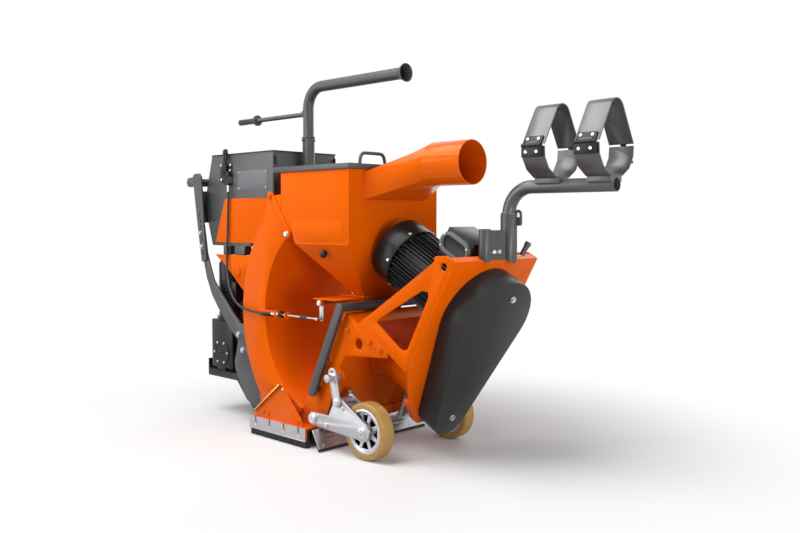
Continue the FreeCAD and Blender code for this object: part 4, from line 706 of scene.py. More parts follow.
# %% Bolt head
def hex_bolt(name, across, tall, washer=1.6):
    """A bolt head on its washer, standing on z = 0. Sizes in millimetres."""
    ring = solid("cylinder", name + "_washer", vertices=24, radius=across * 0.63 / 1000,
                 depth=washer / 1000, location=(0, 0, washer / 2000))
    round_edges(ring, 0.4, 1)
    head = solid("cylinder", name + "_head", vertices=6, radius=across / math.sqrt(3) / 1000,
                 depth=(tall - washer) / 1000, location=(0, 0, (tall + washer) / 2000))
    bpy.ops.object.mode_set(mode="EDIT")
    bpy.ops.mesh.select_all(action="SELECT")
    bpy.ops.mesh.bisect(plane_co=(0, 0, (tall - 0.9) / 1000), plane_no=(0, 0, 1), use_fill=True,
                        clear_outer=True)
    bpy.ops.mesh.inset(thickness=0)
    bpy.ops.transform.translate(value=(0, 0, 0.0007))
    bpy.ops.transform.resize(value=(0.86, 0.86, 1))
    bpy.ops.mesh.inset(thickness=across * 0.16 / 1000)
    bpy.ops.mesh.inset(thickness=0)
    bpy.ops.transform.translate(value=(0, 0, -0.0006))
    bpy.ops.object.mode_set(mode="OBJECT")
    bolt = joined(name, ring, head)
    bpy.ops.object.shade_smooth_by_angle(angle=math.radians(30))
    return bolt


# %% [markdown]
# ## Round-headed screws
#
# Smaller screws have a low round head with a sunk socket. They are made as the bolts are, from a
# cylinder that is levelled, lifted and drawn in, with a last inset pushed down for the socket.

# %% Screw head
def pan_screw(name, radius, tall):
    """A round-headed screw with a sunk socket, standing on z = 0."""
    head = solid("cylinder", name, vertices=20, radius=radius / 1000, depth=tall / 1000,
                 location=(0, 0, tall / 2000))
    bpy.ops.object.mode_set(mode="EDIT")
    bpy.ops.mesh.select_all(action="SELECT")
    bpy.ops.mesh.bisect(plane_co=(0, 0, tall * 0.55 / 1000), plane_no=(0, 0, 1), use_fill=True,
                        clear_outer=True)
    bpy.ops.mesh.inset(thickness=0)
    bpy.ops.transform.translate(value=(0, 0, tall * 0.4 / 1000))
    bpy.ops.transform.resize(value=(0.8, 0.8, 1))
    bpy.ops.mesh.inset(thickness=radius * 0.38 / 1000)
    bpy.ops.mesh.inset(thickness=0)
    bpy.ops.transform.translate(value=(0, 0, -tall * 0.5 / 1000))
    bpy.ops.object.mode_set(mode="OBJECT")
    bpy.ops.object.shade_smooth_by_angle(angle=math.radians(35))
    return head


# %% [markdown]
# ## Copies on their places
#
# One model is made for each size, standing on the ground plane, and copied to each place with its own
# mesh. Linked copies would be lighter, but each finished piece has to hold its place in its own mesh.
# Copies that share a body and a finish are joined into one piece, and each is turned a little further
# than the last, as real heads are. Heads on the side plates are painted with them. Most others are
# plated.

# %% Copies
def copies(model, name, spots, material, body="frame"):
    """Copies of one model, each stood on a spot and turned to its axis, joined into one piece."""
    pieces = []
    for count, (spot, axis) in enumerate(spots):
        mesh = model.data.copy()
        turn = Vector(axis).to_track_quat("Z", "Y").to_matrix().to_4x4()
        spin = Matrix.Rotation(count * 0.7, 4, "Z")
        mesh.transform(Matrix.Translation(spot) @ turn @ spin @ model.matrix_world)
        piece = bpy.data.objects.new("%s_%d" % (name, count), mesh)
        bpy.context.collection.objects.link(piece)
        pieces.append(piece)
    return dress(joined(name, *pieces), material, body)


# %% Bolt models
OUT = {"near": Vector((0, -1, 0)), "far": Vector((0, 1, 0))}
SIGN = {"near": -1, "far": 1}
bolt_m10 = hex_bolt("bolt_m10", 17, 8.4)
bolt_m12 = hex_bolt("bolt_m12", 19, 7.4)
nut_clamp = hex_bolt("nut_clamp", 30, 12, 2.0)
nut_pivot = hex_bolt("nut_pivot", 33, 8.8, 2.0)
nut_axle = hex_bolt("nut_axle", 31, 8.6, 2.0)
nut_link = hex_bolt("nut_link", 22, 6.8, 1.6)
bolt_small = hex_bolt("bolt_small", 13, 6.0, 1.2)
MODELS = [bolt_m10, bolt_m12, bolt_small, nut_clamp, nut_pivot, nut_axle, nut_link]
print("bolt models: %d" % len(MODELS))

# %% Bolts and nuts in their places
plate_bolts, arm_bolts = [], []
for label, sign in SIGN.items():
    for x, z in ((-215, 315), (-192, 325), (-196, 286), (60, 385), (10, 408), (-100, 440)):
        plate_bolts.append((at(x, sign * 216, z), OUT[label]))
    for x, z in ((-789, 355), (-761, 294)):
        arm_bolts.append((at(x, sign * 185.9, z), OUT[label]))
copies(bolt_m10, "side_plate_bolts", plate_bolts, orange_paint)
copies(bolt_m12, "side_arm_bolts", arm_bolts, zinc)
spots = [(on_plate(92, 30, -95), PLATE_OUT), (on_plate(92, 0, -574), PLATE_OUT)]
copies(bolt_m12, "belt_cover_bolts", spots, bright_zinc)
for label, sign in SIGN.items():
    for model, name, body, *places in (
            (nut_clamp, "height_clamp_nut_", "frame", (-140, 252.6, 270)),
            (nut_pivot, "fork_pivot_nut_", "frame", (-255, 245.3, 107)),
            (nut_axle, "axle_nut_", "fork_" + label, (0, 245, 100)),
            (bolt_small, "fork_bolts_", "fork_" + label, (-182, 245, 96), (-96, 245, 166)),
            (nut_link, "link_nut_", "link_" + label, (-121, 252.3, 186))):
        spots = [(at(x, sign * y, z), OUT[label]) for x, y, z in places]
        copies(model, name + label, spots, bright_zinc, body)
print("bolt heads on the side plates: %d" % len(plate_bolts))

# %% [markdown]
# ## Turned, pressed and cut pieces
#
# Most of the small parts are one of three things: a bar turned about an axis, a plate cut to an outline,
# or a bead of weld. Each starts as a circle of edges, because its corners follow one another in a ring
# and can be laid on any outline. A plate is that outline filled and extruded. A turned part is half a
# section, spun about its axis; its ends close on the axis where the merged corners meet. A screw
# modifier or a boolean would do too, but a spin is what a lathe does. Outlines are in millimetres.

# %% Lay and close
def lay(piece, spots):
    """Put the corners of a piece on spots, in metres, and open it for editing with all of it selected."""
    for corner, spot in zip(piece.data.vertices, spots):
        corner.co = spot
    bpy.ops.object.mode_set(mode="EDIT")
    bpy.ops.mesh.select_all(action="SELECT")


def close_up(piece, round_width=0.0):
    """Turn all faces outward, leave edit mode, and round or smooth the edges."""
    bpy.ops.mesh.select_all(action="SELECT")
    bpy.ops.mesh.normals_make_consistent(inside=False)
    bpy.ops.object.mode_set(mode="OBJECT")
    if round_width:
        round_edges(piece, round_width)
    else:
        bpy.ops.object.shade_smooth_by_angle(angle=math.radians(35))
    return piece


# %% Lathe
def lathe(name, outline, start, axis, steps=32):
    """Spin (along, radius) pairs about an axis. Both ends are closed, unless the outline ends where it
    began, which makes a ring."""
    if outline[0] == outline[-1]:
        section = outline[1:]
    else:
        section = [(outline[0][0], 0), *outline, (outline[-1][0], 0)]
    turn = Vector(axis).normalized().to_track_quat("Z", "Y").to_matrix()
    piece = solid("circle", name, vertices=len(section))
    lay(piece, [start + turn @ Vector((radius, 0, along)) / 1000 for along, radius in section])
    bpy.ops.mesh.spin(steps=steps, angle=math.tau, center=start, axis=turn @ Vector((0, 0, 1)))
    bpy.ops.mesh.select_all(action="SELECT")
    bpy.ops.mesh.remove_doubles(threshold=0.000002)
    bpy.ops.mesh.delete_loose()
    return close_up(piece)


# %% Cut plate
def slab(name, outline, low, high, place, round_width=0.4):
    """A plate cut to an outline of (a, b) pairs, from depth low to high; place turns a, b and depth to
    a spot."""
    piece = solid("circle", name, vertices=len(outline), fill_type="NGON")
    lay(piece, [place(a, b, low) for a, b in outline])
    through = place(0, 0, high) - place(0, 0, low)
    bpy.ops.mesh.extrude_region_move(TRANSFORM_OT_translate={"value": through})
    return close_up(piece, round_width)


def stadium(first, last, radius, steps=14):
    """The outline of a slot: two half circles about first and last."""
    along = math.atan2(last[1] - first[1], last[0] - first[0])
    points = []
    for middle, start in ((last, along - math.pi / 2), (first, along + math.pi / 2)):
        for step in range(steps + 1):
            angle = start + math.pi * step / steps
            points.append((middle[0] + radius * math.cos(angle), middle[1] + radius * math.sin(angle)))
    return points


# %% Bead of weld
def bead(name, first, last, radius, material=orange_paint):
    """A straight bead of weld from first to last, with the ripple that the puddle leaves."""
    span = (last - first).length * 1000
    count = max(6, int(span / 2.2))
    outline = [(span * step / count, radius * (0.82 + 0.18 * (step % 2))) for step in range(count + 1)]
    dress(lathe(name, outline, first, last - first, 10), material)


# %% Sides to lay an outline on
def facing(side):
    """Lay an outline of x and z on one side of the machine, depth outward from the middle."""
    return lambda x, z, depth: at(x, SIGN[side] * depth, z)


def across(x, z, y):
    """Lay an outline of x and z across the machine, depth along y."""
    return at(x, y, z)


# %% [markdown]
# ## The coloured panels and the motor's bore
#
# Each panel runs on past the box's slanted front edge until it nearly meets the duct. The strip that
# does so could be a piece of its own, but its seam would show. It is joined to the built panel before
# its edges are rounded. The motor's body is opened by half a millimetre around its shaft, which keeps
# the flats of the two round faces apart when the shaft turns.

# %% Panels and motor body
PANEL_STRIP = [(-745, 725), (-690, 725), (-566, 878), (-600, 905), (-620, 880)]
strips = [slab("panel_strip", PANEL_STRIP, 160, 163, facing(side), 0) for side in SIGN]
rounded("box_panel", 0.9, add=strips)
shaft_way = lathe("shaft_way", [(0, 19.6), (340, 19.6)], on_plate(-335, 0, MOTOR_UP), PLATE_OUT)
rounded("motor_body", 0.5, cut=[shaft_way])
print("strips joined to the panels: %d" % len(strips))

# %% [markdown]
# ## The cable's fittings
#
# The sheath ends in a crimped ferrule. A threaded adjuster goes through the stop on the duct's arm,
# held by a nut on each side, and a small rubber boot keeps grit out where the pull rod comes through.
# The rod has a black sleeve that a gloved finger can find. All but the nuts are turned parts, spun from
# half a section. The adjuster and the boot are open along their middle and the nuts are bored, since
# the rod slides through them. The thread could be a true helix, but at two millimetres to a turn a row
# of plain ridges looks the same.

# %% Cable fittings
BACK = Vector((-1, 0, 0))
AHEAD = Vector((1, 0, 0))
UP = Vector((0, 0, 1))
ROD_Y, ROD_Z = -235, 466
ferrule = [(0, 4.6), (0.6, 6.2), (5, 6.2), (6, 5.2), (9, 5.2), (10, 6.2), (15, 6.2), (16, 5.2),
           (19, 5.2), (20, 6.2), (26, 6.2), (26.8, 4.6)]
dress(lathe("cable_ferrule_low", ferrule, at(-505, ROD_Y, 465.2), AHEAD), bright_zinc)
dress(lathe("cable_ferrule_high", ferrule, at(-870.3, -172, 933), UP), bright_zinc)
thread = [(0, 3.6), (0, 5.2)]
for turn in range(11):
    thread += [(1 + turn * 2, 5.2), (2 + turn * 2, 4.4)]
thread += [(23, 5.2), (23, 3.6), (0, 3.6)]
dress(lathe("cable_adjuster", thread, at(-470, ROD_Y, ROD_Z), AHEAD), bright_zinc)
print("ridges on the adjuster: %d" % (turn + 1))

# %% Nuts, boot and sleeve
nut_small = hex_bolt("nut_small", 15, 5.5, 1.0)
nut_bored = solid("cylinder", "nut_bored", vertices=6, radius=0.0087, depth=0.0055,
                  location=(0, 0, 0.00275))
take_out(nut_bored, solid("cylinder", "rod_way", vertices=24, radius=0.0037, depth=0.02))
round_edges(nut_bored, 0.5)
copies(nut_bored, "adjuster_nuts", [(at(-470, ROD_Y, ROD_Z), AHEAD), (at(-478, ROD_Y, ROD_Z), BACK)],
       bright_zinc)
boot = [(0, 3.6), (0, 7.5), (1.5, 8.6), (5, 8.6), (6.5, 7.2), (8, 8.2), (10, 8.2), (11.5, 6.6),
        (13, 7.6), (15, 7.4), (17, 5.6), (22, 4.8), (24, 4.4), (24, 3.6), (0, 3.6)]
dress(lathe("cable_boot", boot, at(-459, ROD_Y, ROD_Z), AHEAD), rubber)
sleeve = [(0, 5.5), (1.5, 7.7), (29.5, 7.7), (32, 5.5)]
dress(lathe("rod_sleeve", sleeve, at(-331, ROD_Y, ROD_Z), AHEAD), grip_rubber, "pull_rod")
copies(nut_small, "valve_arm_nut", [(at(-240, -226, 522), OUT["near"])], bright_zinc, "valve")
screw_small = pan_screw("screw_small", 5.4, 3.4)
screw_tiny = pan_screw("screw_tiny", 3.4, 2.0)
copies(screw_small, "rod_pin_head", [(at(-240, -240, ROD_Z), OUT["near"])], bright_zinc, "pull_rod")
MODELS += [nut_small, nut_bored, screw_small, screw_tiny]
print("models kept for copying: %d" % len(MODELS))

# %% [markdown]
# ## Brushes and their strips
#
# Bristles seal the blast area against the floor. They are bundled in short lengths and clamped by a
# slotted aluminium strip, so that they can be let down as they wear. A bundle is a thin tapering prism
# that stops a little short or long of its neighbour; several rows of them give the ragged black foot.
# A particle system could grow them, but it would have to be turned to mesh in the end. Two thousand
# bundles that all differ are too many to model by hand, so their corners are worked out one by one.

# %% Bristles
random.seed(7)


def bristles(name, spots):
    """One thin prism per (x, y, top) spot, down to the floor."""
    corners, faces = [], []
    for x, y, top in spots:
        first = len(corners)
        foot = random.uniform(0.3, 2.6)
        lean_x, lean_y = random.uniform(-1.2, 1.2), random.uniform(-0.9, 0.9)
        for z, radius, lean in ((top, 1.5, 0), (top * 0.4, 1.7, 0.4), (foot, 2.0, 1)):
            for step in range(4):
                angle = math.tau * step / 4 + 0.6
                corners.append(at(x + lean_x * lean + radius * math.cos(angle),
                                  y + lean_y * lean + radius * math.sin(angle), z))
        for low in (first, first + 4):
            for step in range(4):
                on = (step + 1) % 4
                faces.append((low + step, low + on, low + 4 + on, low + 4 + step))
        faces.append((first + 8, first + 9, first + 10, first + 11))
    mesh = bpy.data.meshes.new(name)
    mesh.from_pydata(corners, [], faces)
    piece = bpy.data.objects.new(name, mesh)
    bpy.context.collection.objects.link(piece)
    work_on(piece)
    bpy.ops.object.mode_set(mode="EDIT")
    return dress(close_up(piece), bristle_nylon)


# %% Side brushes
side_brushes = []
for label, sign in SIGN.items():
    spots = []
    for row in range(8):
        y = 252.5 + row * 2.75
        top = 66 if y < 266 else 26
        x = -591.5
        while x < -264.5:
            if (x + 594) % 41.5 > 3.2:
                spots.append((x + random.uniform(-0.3, 0.3), sign * y, top))
            x += 2.9
    side_brushes.append(bristles("brush_%s_bristles" % label, spots))
print("bundles in a side brush: %d" % len(spots))

# %% Rear brush and front lip
spots = []
for row in range(3):
    y = -213.5
    while y < 214:
        spots.append((-600.6 + row * 2.6, y, 66))
        y += 2.9
rear_brush = bristles("brush_rear_bristles", spots)
LIP = [(-198.4, 24), (-185.7, 2), (-190.5, 2), (-202.7, 21.5)]
dress(slab("front_rubber_lip", LIP, -275, 275, across, 0.8), rubber)
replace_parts(side_brushes[0], "brushes")
bundles = sum(len(piece.data.polygons) // 9 for piece in side_brushes + [rear_brush])
print("bristle bundles: %d" % bundles)

# %% [markdown]
# ## Strips that clamp the brushes
#
# The strip that holds each side brush has four slots, open at the top, with a bolt at the foot of each.
# The slots could be drawn in the outline, but boxes taken out of a plain plate are easier to read and
# to move. A small lip runs along the strip's foot, and a yellow plated edge follows the slope of the
# skirt. A thin black sheet right behind each strip is painted shade, so that the slots read dark.
# The rear brush has a plain channel.

# %% Strips that clamp them
def oblong(left, low, right, high):
    """The outline of a rectangle."""
    return [(left, low), (right, low), (right, high), (left, high)]


BOLT_XS = [-555 + 85 * index for index in range(4)]
skirt_screw = hex_bolt("skirt_screw", 12.5, 3.2, 0.8)
MODELS.append(skirt_screw)
for label, sign in SIGN.items():
    side = facing(label)
    strip = slab("brush_strip_" + label, oblong(-594, 26, -262, 72.6), 275.05, 276.6, side, 0)
    for x in BOLT_XS:
        take_out(strip, slab("cutter", oblong(x - 3.6, 50, x + 3.6, 75), 274, 278, side, 0))
    round_edges(strip, 0.4, 1)
    dress(strip, strip_aluminium)
    # a thin black sheet behind the strip: painted shade, seen through the slots
    dress(slab("brush_strip_slot_shade_" + label, oblong(-593, 27, -263, 72.3), 274.9, 275.2, side), rubber)
    dress(slab("brush_strip_lip_" + label, oblong(-594, 24.5, -262, 29), 274.5, 278.4, side, 0.9),
          strip_aluminium)
    spots = [(at(x, sign * 276.6, 44), OUT[label]) for x in BOLT_XS]
    copies(skirt_screw, "skirt_bolts_" + label, spots, bright_zinc)
    edge = [(-567.4, 98.8), (-416.2, 214.2), (-412.4, 210.2), (-563.4, 94.9)]
    dress(slab("skirt_edge_" + label, edge, 259.6, 274.4, side, 0.8), warm_edge)
    spots = [(at(-404, sign * 264, 194), OUT[label])]
    copies(screw_small, "skirt_apex_screw_" + label, spots, bright_zinc)
    spots = [(at(x, sign * 264, z), OUT[label]) for x, z in ((-522, 96), (-490, 96), (-316, 88))]
    copies(bolt_small, "skirt_gusset_bolts_" + label, spots, orange_paint)
dress(slab("brush_rear_channel", oblong(-604, 58, -591.8, 80), -216, 216, across, 1.2), strip_aluminium)
print("bolts on each strip: %d" % len(BOLT_XS))

# %% [markdown]
# ## The front flap
#
# A bright steel flap closes the front of the blast area, with a rubber lip along its foot. Two pressed
# ribs keep it straight, and a row of small screws holds the lip. The ribs could be pushed out of the
# sheet itself; as thin rounded plates laid on it they look the same and leave the built piece alone. A
# small function lays them out on the leaning flap, so that the numbers stay those of a flat sheet.

# %% Ribs and screws on the flap
FLAP = (at(-186.2, 0, 13) - at(-219.3, 0, 75)).normalized()
FLAP_OUT = Vector((0.882, 0, 0.471))


def on_flap(y, down, out):
    return at(-219.3, y, 75) + FLAP * (down / 1000) + FLAP_OUT * (out / 1000)


for index, down in enumerate((22, 40)):
    rib = slab("flap_rib_%d" % index, oblong(-262, down, 262, down + 5), -0.5, 2.2, on_flap, 1.0)
    dress(rib, flap_steel)
screws = [(on_flap(y, 60, 0), FLAP_OUT) for y in (-250, -190, -130, 130, 190, 250)]
copies(screw_tiny, "flap_screws", screws, bright_zinc)
print("screws along the flap: %d" % len(screws))

# %% [markdown]
# ## Hose rings
#
# Each ring opens on a hinge along its near side. A black leaf is screwed to each half with two bright
# screws, and the barrel between them is in three parts, the outer two on the lower leaf. Each part is
# on the body of its own half. One barrel in one piece would look the same shut, and tear when the ring
# opens.

# %% Ring hinges
SLOPE = Vector((0, 65, 112)).normalized()
SLOPE_OUT = Vector((0, -112, 65)).normalized()
for start, ring in ((503, "rear"), (692, "front")):
    leaf = slab("hinge_leaf_low_" + ring, oblong(start + 5, 1011, start + 79, 1042.5), -45.6, -34,
                across, 0.9)
    dress(leaf, black_paint, "carrier")
    spots = [(at(start + x, -45.6, 1027), OUT["near"]) for x in (22, 62)]
    copies(screw_small, "hinge_screws_low_" + ring, spots, bright_zinc, "carrier")

    def on_slope(x, up, out):
        return at(x, -36, 1050) + SLOPE * (up / 1000) + SLOPE_OUT * (out / 1000)
    leaf = slab("hinge_leaf_high_" + ring, oblong(start + 9, 1.5, start + 75, 27), -0.5, 6.0, on_slope, 0.9)
    dress(leaf, black_paint, "ring_" + ring)
    spots = [(on_slope(start + x, 15, 6.0), SLOPE_OUT) for x in (22, 62)]
    copies(screw_small, "hinge_screws_high_" + ring, spots, bright_zinc, "ring_" + ring)
    for index, (first, last, body) in enumerate(((5.5, 18.6, "carrier"), (19, 65, "ring_" + ring),
                                                 (65.4, 78.5, "carrier"))):
        span = last - first
        barrel = [(0, 5.8), (0.7, 6.6), (span - 0.7, 6.6), (span, 5.8)]
        piece = lathe("hinge_barrel_%s_%d" % (ring, index), barrel, at(start + first, -43, 1047), AHEAD, 24)
        dress(piece, black_paint, body)
print("hinges opened along", [round(part, 3) for part in SLOPE])

# %% [markdown]
# ## The terminal box
#
# The terminal box has a cast cover with a thick oval rim. A torus can't be oval with straight sides, so
# two rings of edges are laid on a small and a large slot outline, bridged into a flat band and
# extruded. A wide rounding then makes it look cast.

# %% Ring from two outlines
PLATE_UP = (on_plate(0, 0, 1000) - on_plate(0, 0, 0)).normalized()


def motor_side(n, up, y):
    return on_plate(n, y, MOTOR_UP + up)


def oval_ring(name, first, last, outer, inner, low, high, place, width):
    """A rim between two slot outlines: two rings of edges, bridged and then extruded."""
    loops = []
    for radius in (outer, inner):
        outline = stadium(first, last, radius)
        loops.append(solid("circle", name, vertices=len(outline)))
        lay(loops[-1], [place(a, b, low) for a, b in outline])
        bpy.ops.object.mode_set(mode="OBJECT")
    rim = joined(name, *loops)
    bpy.ops.object.mode_set(mode="EDIT")
    bpy.ops.mesh.select_all(action="SELECT")
    bpy.ops.mesh.bridge_edge_loops()
    bpy.ops.mesh.select_all(action="SELECT")
    through = place(0, 0, high) - place(0, 0, low)
    bpy.ops.mesh.extrude_region_move(TRANSFORM_OT_translate={"value": through})
    return close_up(rim, width)


# %% Oval rim
rim = oval_ring("terminal_rim", (-157, 172), (-98, 172), 36.8, 24.2, -84, -65.5, motor_side, 4.5)
cast_grey = powder_coat("cast_grey", (0.155, 0.155, 0.16), 0.45, 0.0, 0.7)
dress(rim, cast_grey)
spots = [(motor_side(n, up, -84), OUT["near"]) for up in (193, 151) for n in (-180, -75)]
copies(screw_tiny, "terminal_screws", spots, steel)
print("faces on the rim: %d" % len(rim.data.polygons))

# %% [markdown]
# ## The motor's finer fins
#
# The motor's cast body is covered in fine cooling fins. The built body has every second one, and the
# others are thin plates laid midway between. An array modifier round the axis would do it too. A loop
# over the angles is as short, and gives each fin its place at once.

# %% Fins between the fins
FIN_COUNT = 28
fins = []
for index in range(FIN_COUNT):
    angle = math.radians((index + 0.5) * 360 / FIN_COUNT)

    def by_fin(n, out, side, cos=math.cos(angle), sin=math.sin(angle)):
        return on_plate(n, out * cos - side * sin, MOTOR_UP + out * sin + side * cos)
    fins.append(slab("fin_%d" % index, oblong(-318, 97, -30, 112), -1, 1, by_fin, 0.4))
dress(joined("motor_fins", *fins), black_paint)
print("fins added: %d" % len(fins))

# %% [markdown]
# ## Screws and bolts in circles
#
# The motor's cowl is held by six screws and its flange by eight bolts. On the drive unit, the gear case
# shows one round cover with its screws, and the motor above it stands on a turned flange, with raised
# bands up its side. The heads could be placed one by one, but all are spaced evenly round an axis, so
# one function gives the angles. The round parts are spun.

# %% Places round an axis
def around(count, first=0.0):
    """Angles evenly round a circle, the first one in degrees."""
    return [math.radians(first + 360 * index / count) for index in range(count)]


def round_motor(count, first, n, radius):
    """Places round the motor's axis, with the direction that points away from it."""
    outs = [PLATE_UP * math.cos(angle) + Vector((0, math.sin(angle), 0)) for angle in around(count, first)]
    return [(on_plate(n, 0, MOTOR_UP) + out * radius, out) for out in outs]


# %% Screws and bolts round the motor
copies(screw_small, "cowl_screws", round_motor(6, 30, -338, 0.1178), bright_zinc)
spots = [(spot, -PLATE_OUT) for spot, out in round_motor(8, 22.5, -22, 0.1165)]
copies(bolt_small, "flange_bolts", spots, zinc)
print("bolts on the flange: %d" % len(spots))

# %% Drive unit
GEAR_X, GEAR_Z, GEAR_MOTOR_Y = -950, 262, -105
spots = [(at(GEAR_X + 46 * math.cos(angle), -163.6, GEAR_Z + 46 * math.sin(angle)), OUT["near"])
         for angle in around(6)]
copies(screw_small, "gear_cover_screws", spots, steel)
cover = [(0, 56), (2.6, 56), (3.6, 55), (3.6, 38), (2.2, 36), (2.2, 12), (4.2, 10)]
dress(lathe("gear_cover", cover, at(GEAR_X, -160, GEAR_Z), OUT["near"], 48), black_paint)
collar = [(0, 60), (8, 60), (10, 58), (10, 53), (14, 52.6)]
dress(lathe("gear_motor_flange", collar, at(GEAR_X, GEAR_MOTOR_Y, 400), UP, 40), black_paint)
spots = [(at(GEAR_X + 56 * math.cos(angle), GEAR_MOTOR_Y + 56 * math.sin(angle), 410), UP)
         for angle in around(4, 45)]
copies(bolt_small, "gear_motor_bolts", spots, zinc)
bands = [(0, 52.2)]
for z in range(8, 152, 16):
    bands += [(z, 52.2), (z + 1, 53.6), (z + 4, 53.6), (z + 5, 52.2)]
bands.append((150, 52.2))
dress(lathe("gear_motor_bands", bands, at(GEAR_X, GEAR_MOTOR_Y, 416), UP, 40), black_paint)
print("bands on the gear motor: %d" % (len(bands) // 4))

# %% [markdown]
# ## Grips, knobs and the shot lever
#
# What a hand touches is moulded rubber. The push bar's grips have rings pressed in so that a wet glove
# doesn't slip, with a flange at the inner end. The mast's tiller has a plainer waisted grip. The rings
# could be a bump in the finish, but they show in the outline, so they are part of the turned shape.

# %% Grips
def ribbed(length, radius, pitch):
    """The outline of a ringed grip with a flange at its start."""
    outline = [(0, radius - 2.6), (0, radius + 2.2), (4, radius + 2.6), (6, radius)]
    along = 10
    while along < length - 10:
        outline += [(along, radius), (along + 1, radius - 1.5), (along + pitch * 0.45, radius - 1.5),
                    (along + pitch * 0.45 + 1, radius)]
        along += pitch
    return outline + [(length - 3, radius), (length - 0.5, radius - 1.5), (length, radius - 2.8)]


GRIP_X, GRIP_Z = -1126, 978
for label, sign in SIGN.items():
    grip = lathe("push_grip_" + label, ribbed(120, 17, 7), at(GRIP_X, sign * 40, GRIP_Z), OUT[label], 36)
    dress(grip, grip_rubber, "handle")
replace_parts(bpy.data.objects["push_grip_near"], "handle_grips")
waisted = [(0, 0), (0.4, 6), (2.5, 10), (6, 12.2), (20, 12.5), (60, 11.6), (100, 12.4), (110, 12.6),
           (113, 14.5), (117, 14.5), (118, 12), (118, 9.2)]
grip = lathe("tiller_grip_moulded", waisted, at(-1007, -15, 1235), AHEAD, 36)
dress(grip, grip_rubber, "mast")
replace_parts(grip, "tiller_grip")
print("grips %d mm up" % GRIP_Z)

# %% Knobs and lever
knob = [(0, 9), (2, 9), (3, 7), (4, 9), (6, 12), (10, 14), (14, 14.4), (18, 13.6), (22, 11),
        (25, 7.4), (26.6, 3.6), (27, 0)]
shiny_black = powder_coat("moulded_black", (0.012, 0.012, 0.013), 0.18, 0.3, 0.9)
SLOT_FOR[shiny_black] = "black_paint"
FUNNEL_OUT = Vector((0, -187, -133)).normalized()
dress(lathe("hopper_knob", knob, at(-229, -204.6, 704), FUNNEL_OUT), shiny_black)
LEVER = (at(-885, 0, 1097) - at(-895, 0, 1012)).normalized()
lever_knob = [(0, 8), (2, 10), (30, 11), (40, 10), (45, 6.5), (46.5, 0)]
dress(lathe("lever_knob", lever_knob, at(-889, -174.2, 1062), LEVER), shiny_black, "shot_lever")
spots = [(at(x, -164.2, z), OUT["near"]) for x, z in ((-930, 1042), (-866, 1042), (-930, 984),
                                                      (-870, 1020))]
copies(screw_small, "lever_plate_screws", spots, bright_zinc)
print("screws on the lever's plate: %d" % len(spots))

# %% [markdown]
# ## Control box
#
# The box has a lid with a small overhang, a door at its front with hinge pins on the corners, louvres
# on the far side and a blank plate on its near side where a maker would fix a badge. The pins are
# turned. The others could be cut into the box, but as thin rounded plates laid on it each has its own
# shadow line, as a fitted part has.

# %% Box lid, hinges and blank plate
lid = slab("box_lid", oblong(-1006, -163, -584, 163), 1085.2, 1088.4, lambda x, y, z: at(x, y, z), 1.1)
dress(lid, grey_paint)
plain_plate = powder_coat("blank_plate_grey", (0.125, 0.13, 0.14), 0.4, 0.0, 0.9, 0.3)
badge = slab("blank_plate", oblong(-820, 938, -625, 1016), 160.1, 161.0, facing("near"), 0.4)
dress(badge, plain_plate)
spots = [(at(x, -161.0, z), OUT["near"]) for x in (-813, -632) for z in (945, 1009)]
copies(screw_tiny, "blank_plate_rivets", spots, steel)
pin = [(0, 3.6), (0.8, 4.6), (16, 4.6), (16.4, 4.0), (17, 4.6), (33, 4.6), (33.8, 3.6)]
for label, sign in SIGN.items():
    for index, z in enumerate((930, 1035)):
        hinge = lathe("box_hinge_%s_%d" % (label, index), pin, at(-584, sign * 154, z), UP, 20)
        dress(hinge, black_paint)
door = slab("box_door", oblong(-145, 908, 145, 1078), 0, 2.2, lambda y, z, out: at(-587 + out, y, z), 0.8)
dress(door, grey_paint)
for index in range(6):
    z = 800 + index * 14
    louvre = slab("box_louvre_%d" % index, oblong(-880, z, -790, z + 7), 162.6, 166.4, facing("far"), 1.4)
    dress(louvre, orange_paint)
print("lid, plate, 4 hinges, door and 6 louvres on the box")

# %% [markdown]
# ## Controls
#
# The controls are on the sloping rear face, in reach of the person who walks behind: a stop button on a
# yellow ring, two push buttons, a switch, an hour counter with nothing shown on it, and three capped
# sockets. They could be modelled flat and turned to the slope as a group, but one function that lays
# them on the slope from the start keeps each piece's place in its mesh. The plastics are coloured
# through, so they have no worn edge, only a paler one.

# %% Places on the rear face
REAR_DOWN = (at(-1063, 0, 885) - at(-1003, 0, 1085)).normalized()
REAR_OUT = Vector((REAR_DOWN.z, 0, -REAR_DOWN.x))


def on_rear(y, down, out):
    return at(-1003, y, 1085) + REAR_DOWN * (down / 1000) + REAR_OUT * (out / 1000)


# %% Plastics
def plastic(name, colour, rough):
    finish = Finish(name, Specular_IOR_Level=0.4)
    body = finish.mix(finish.span(finish.noise(60, 3), 0.3, 0.7), tint(colour, 0.9), tint(colour, 1.06))
    pale = tint([c * 0.8 + 0.1 for c in colour], 1)
    body = finish.mix(finish.math("MULTIPLY", finish.edges(0.001), 0.3), body, pale)
    finish.colour(body)
    finish.gloss(finish.span(finish.noise(90, 3), 0.3, 0.7, rough - 0.05, rough + 0.08))
    finish.relief(finish.noise(800, 2), 0.08, 0.0002)
    return finish.material


red_plastic = plastic("red_button", (0.62, 0.02, 0.015), 0.28)
yellow_plastic = plastic("yellow_ring", (0.80, 0.52, 0.02), 0.35)
green_plastic = plastic("green_button", (0.03, 0.30, 0.06), 0.3)
blue_plastic = plastic("blue_socket", (0.03, 0.10, 0.36), 0.32)
dark_glass = plastic("counter_window", (0.02, 0.025, 0.025), 0.12)
plastics = [red_plastic, yellow_plastic, green_plastic, blue_plastic, dark_glass]
print("plastics:", ", ".join(paint.name for paint in plastics))

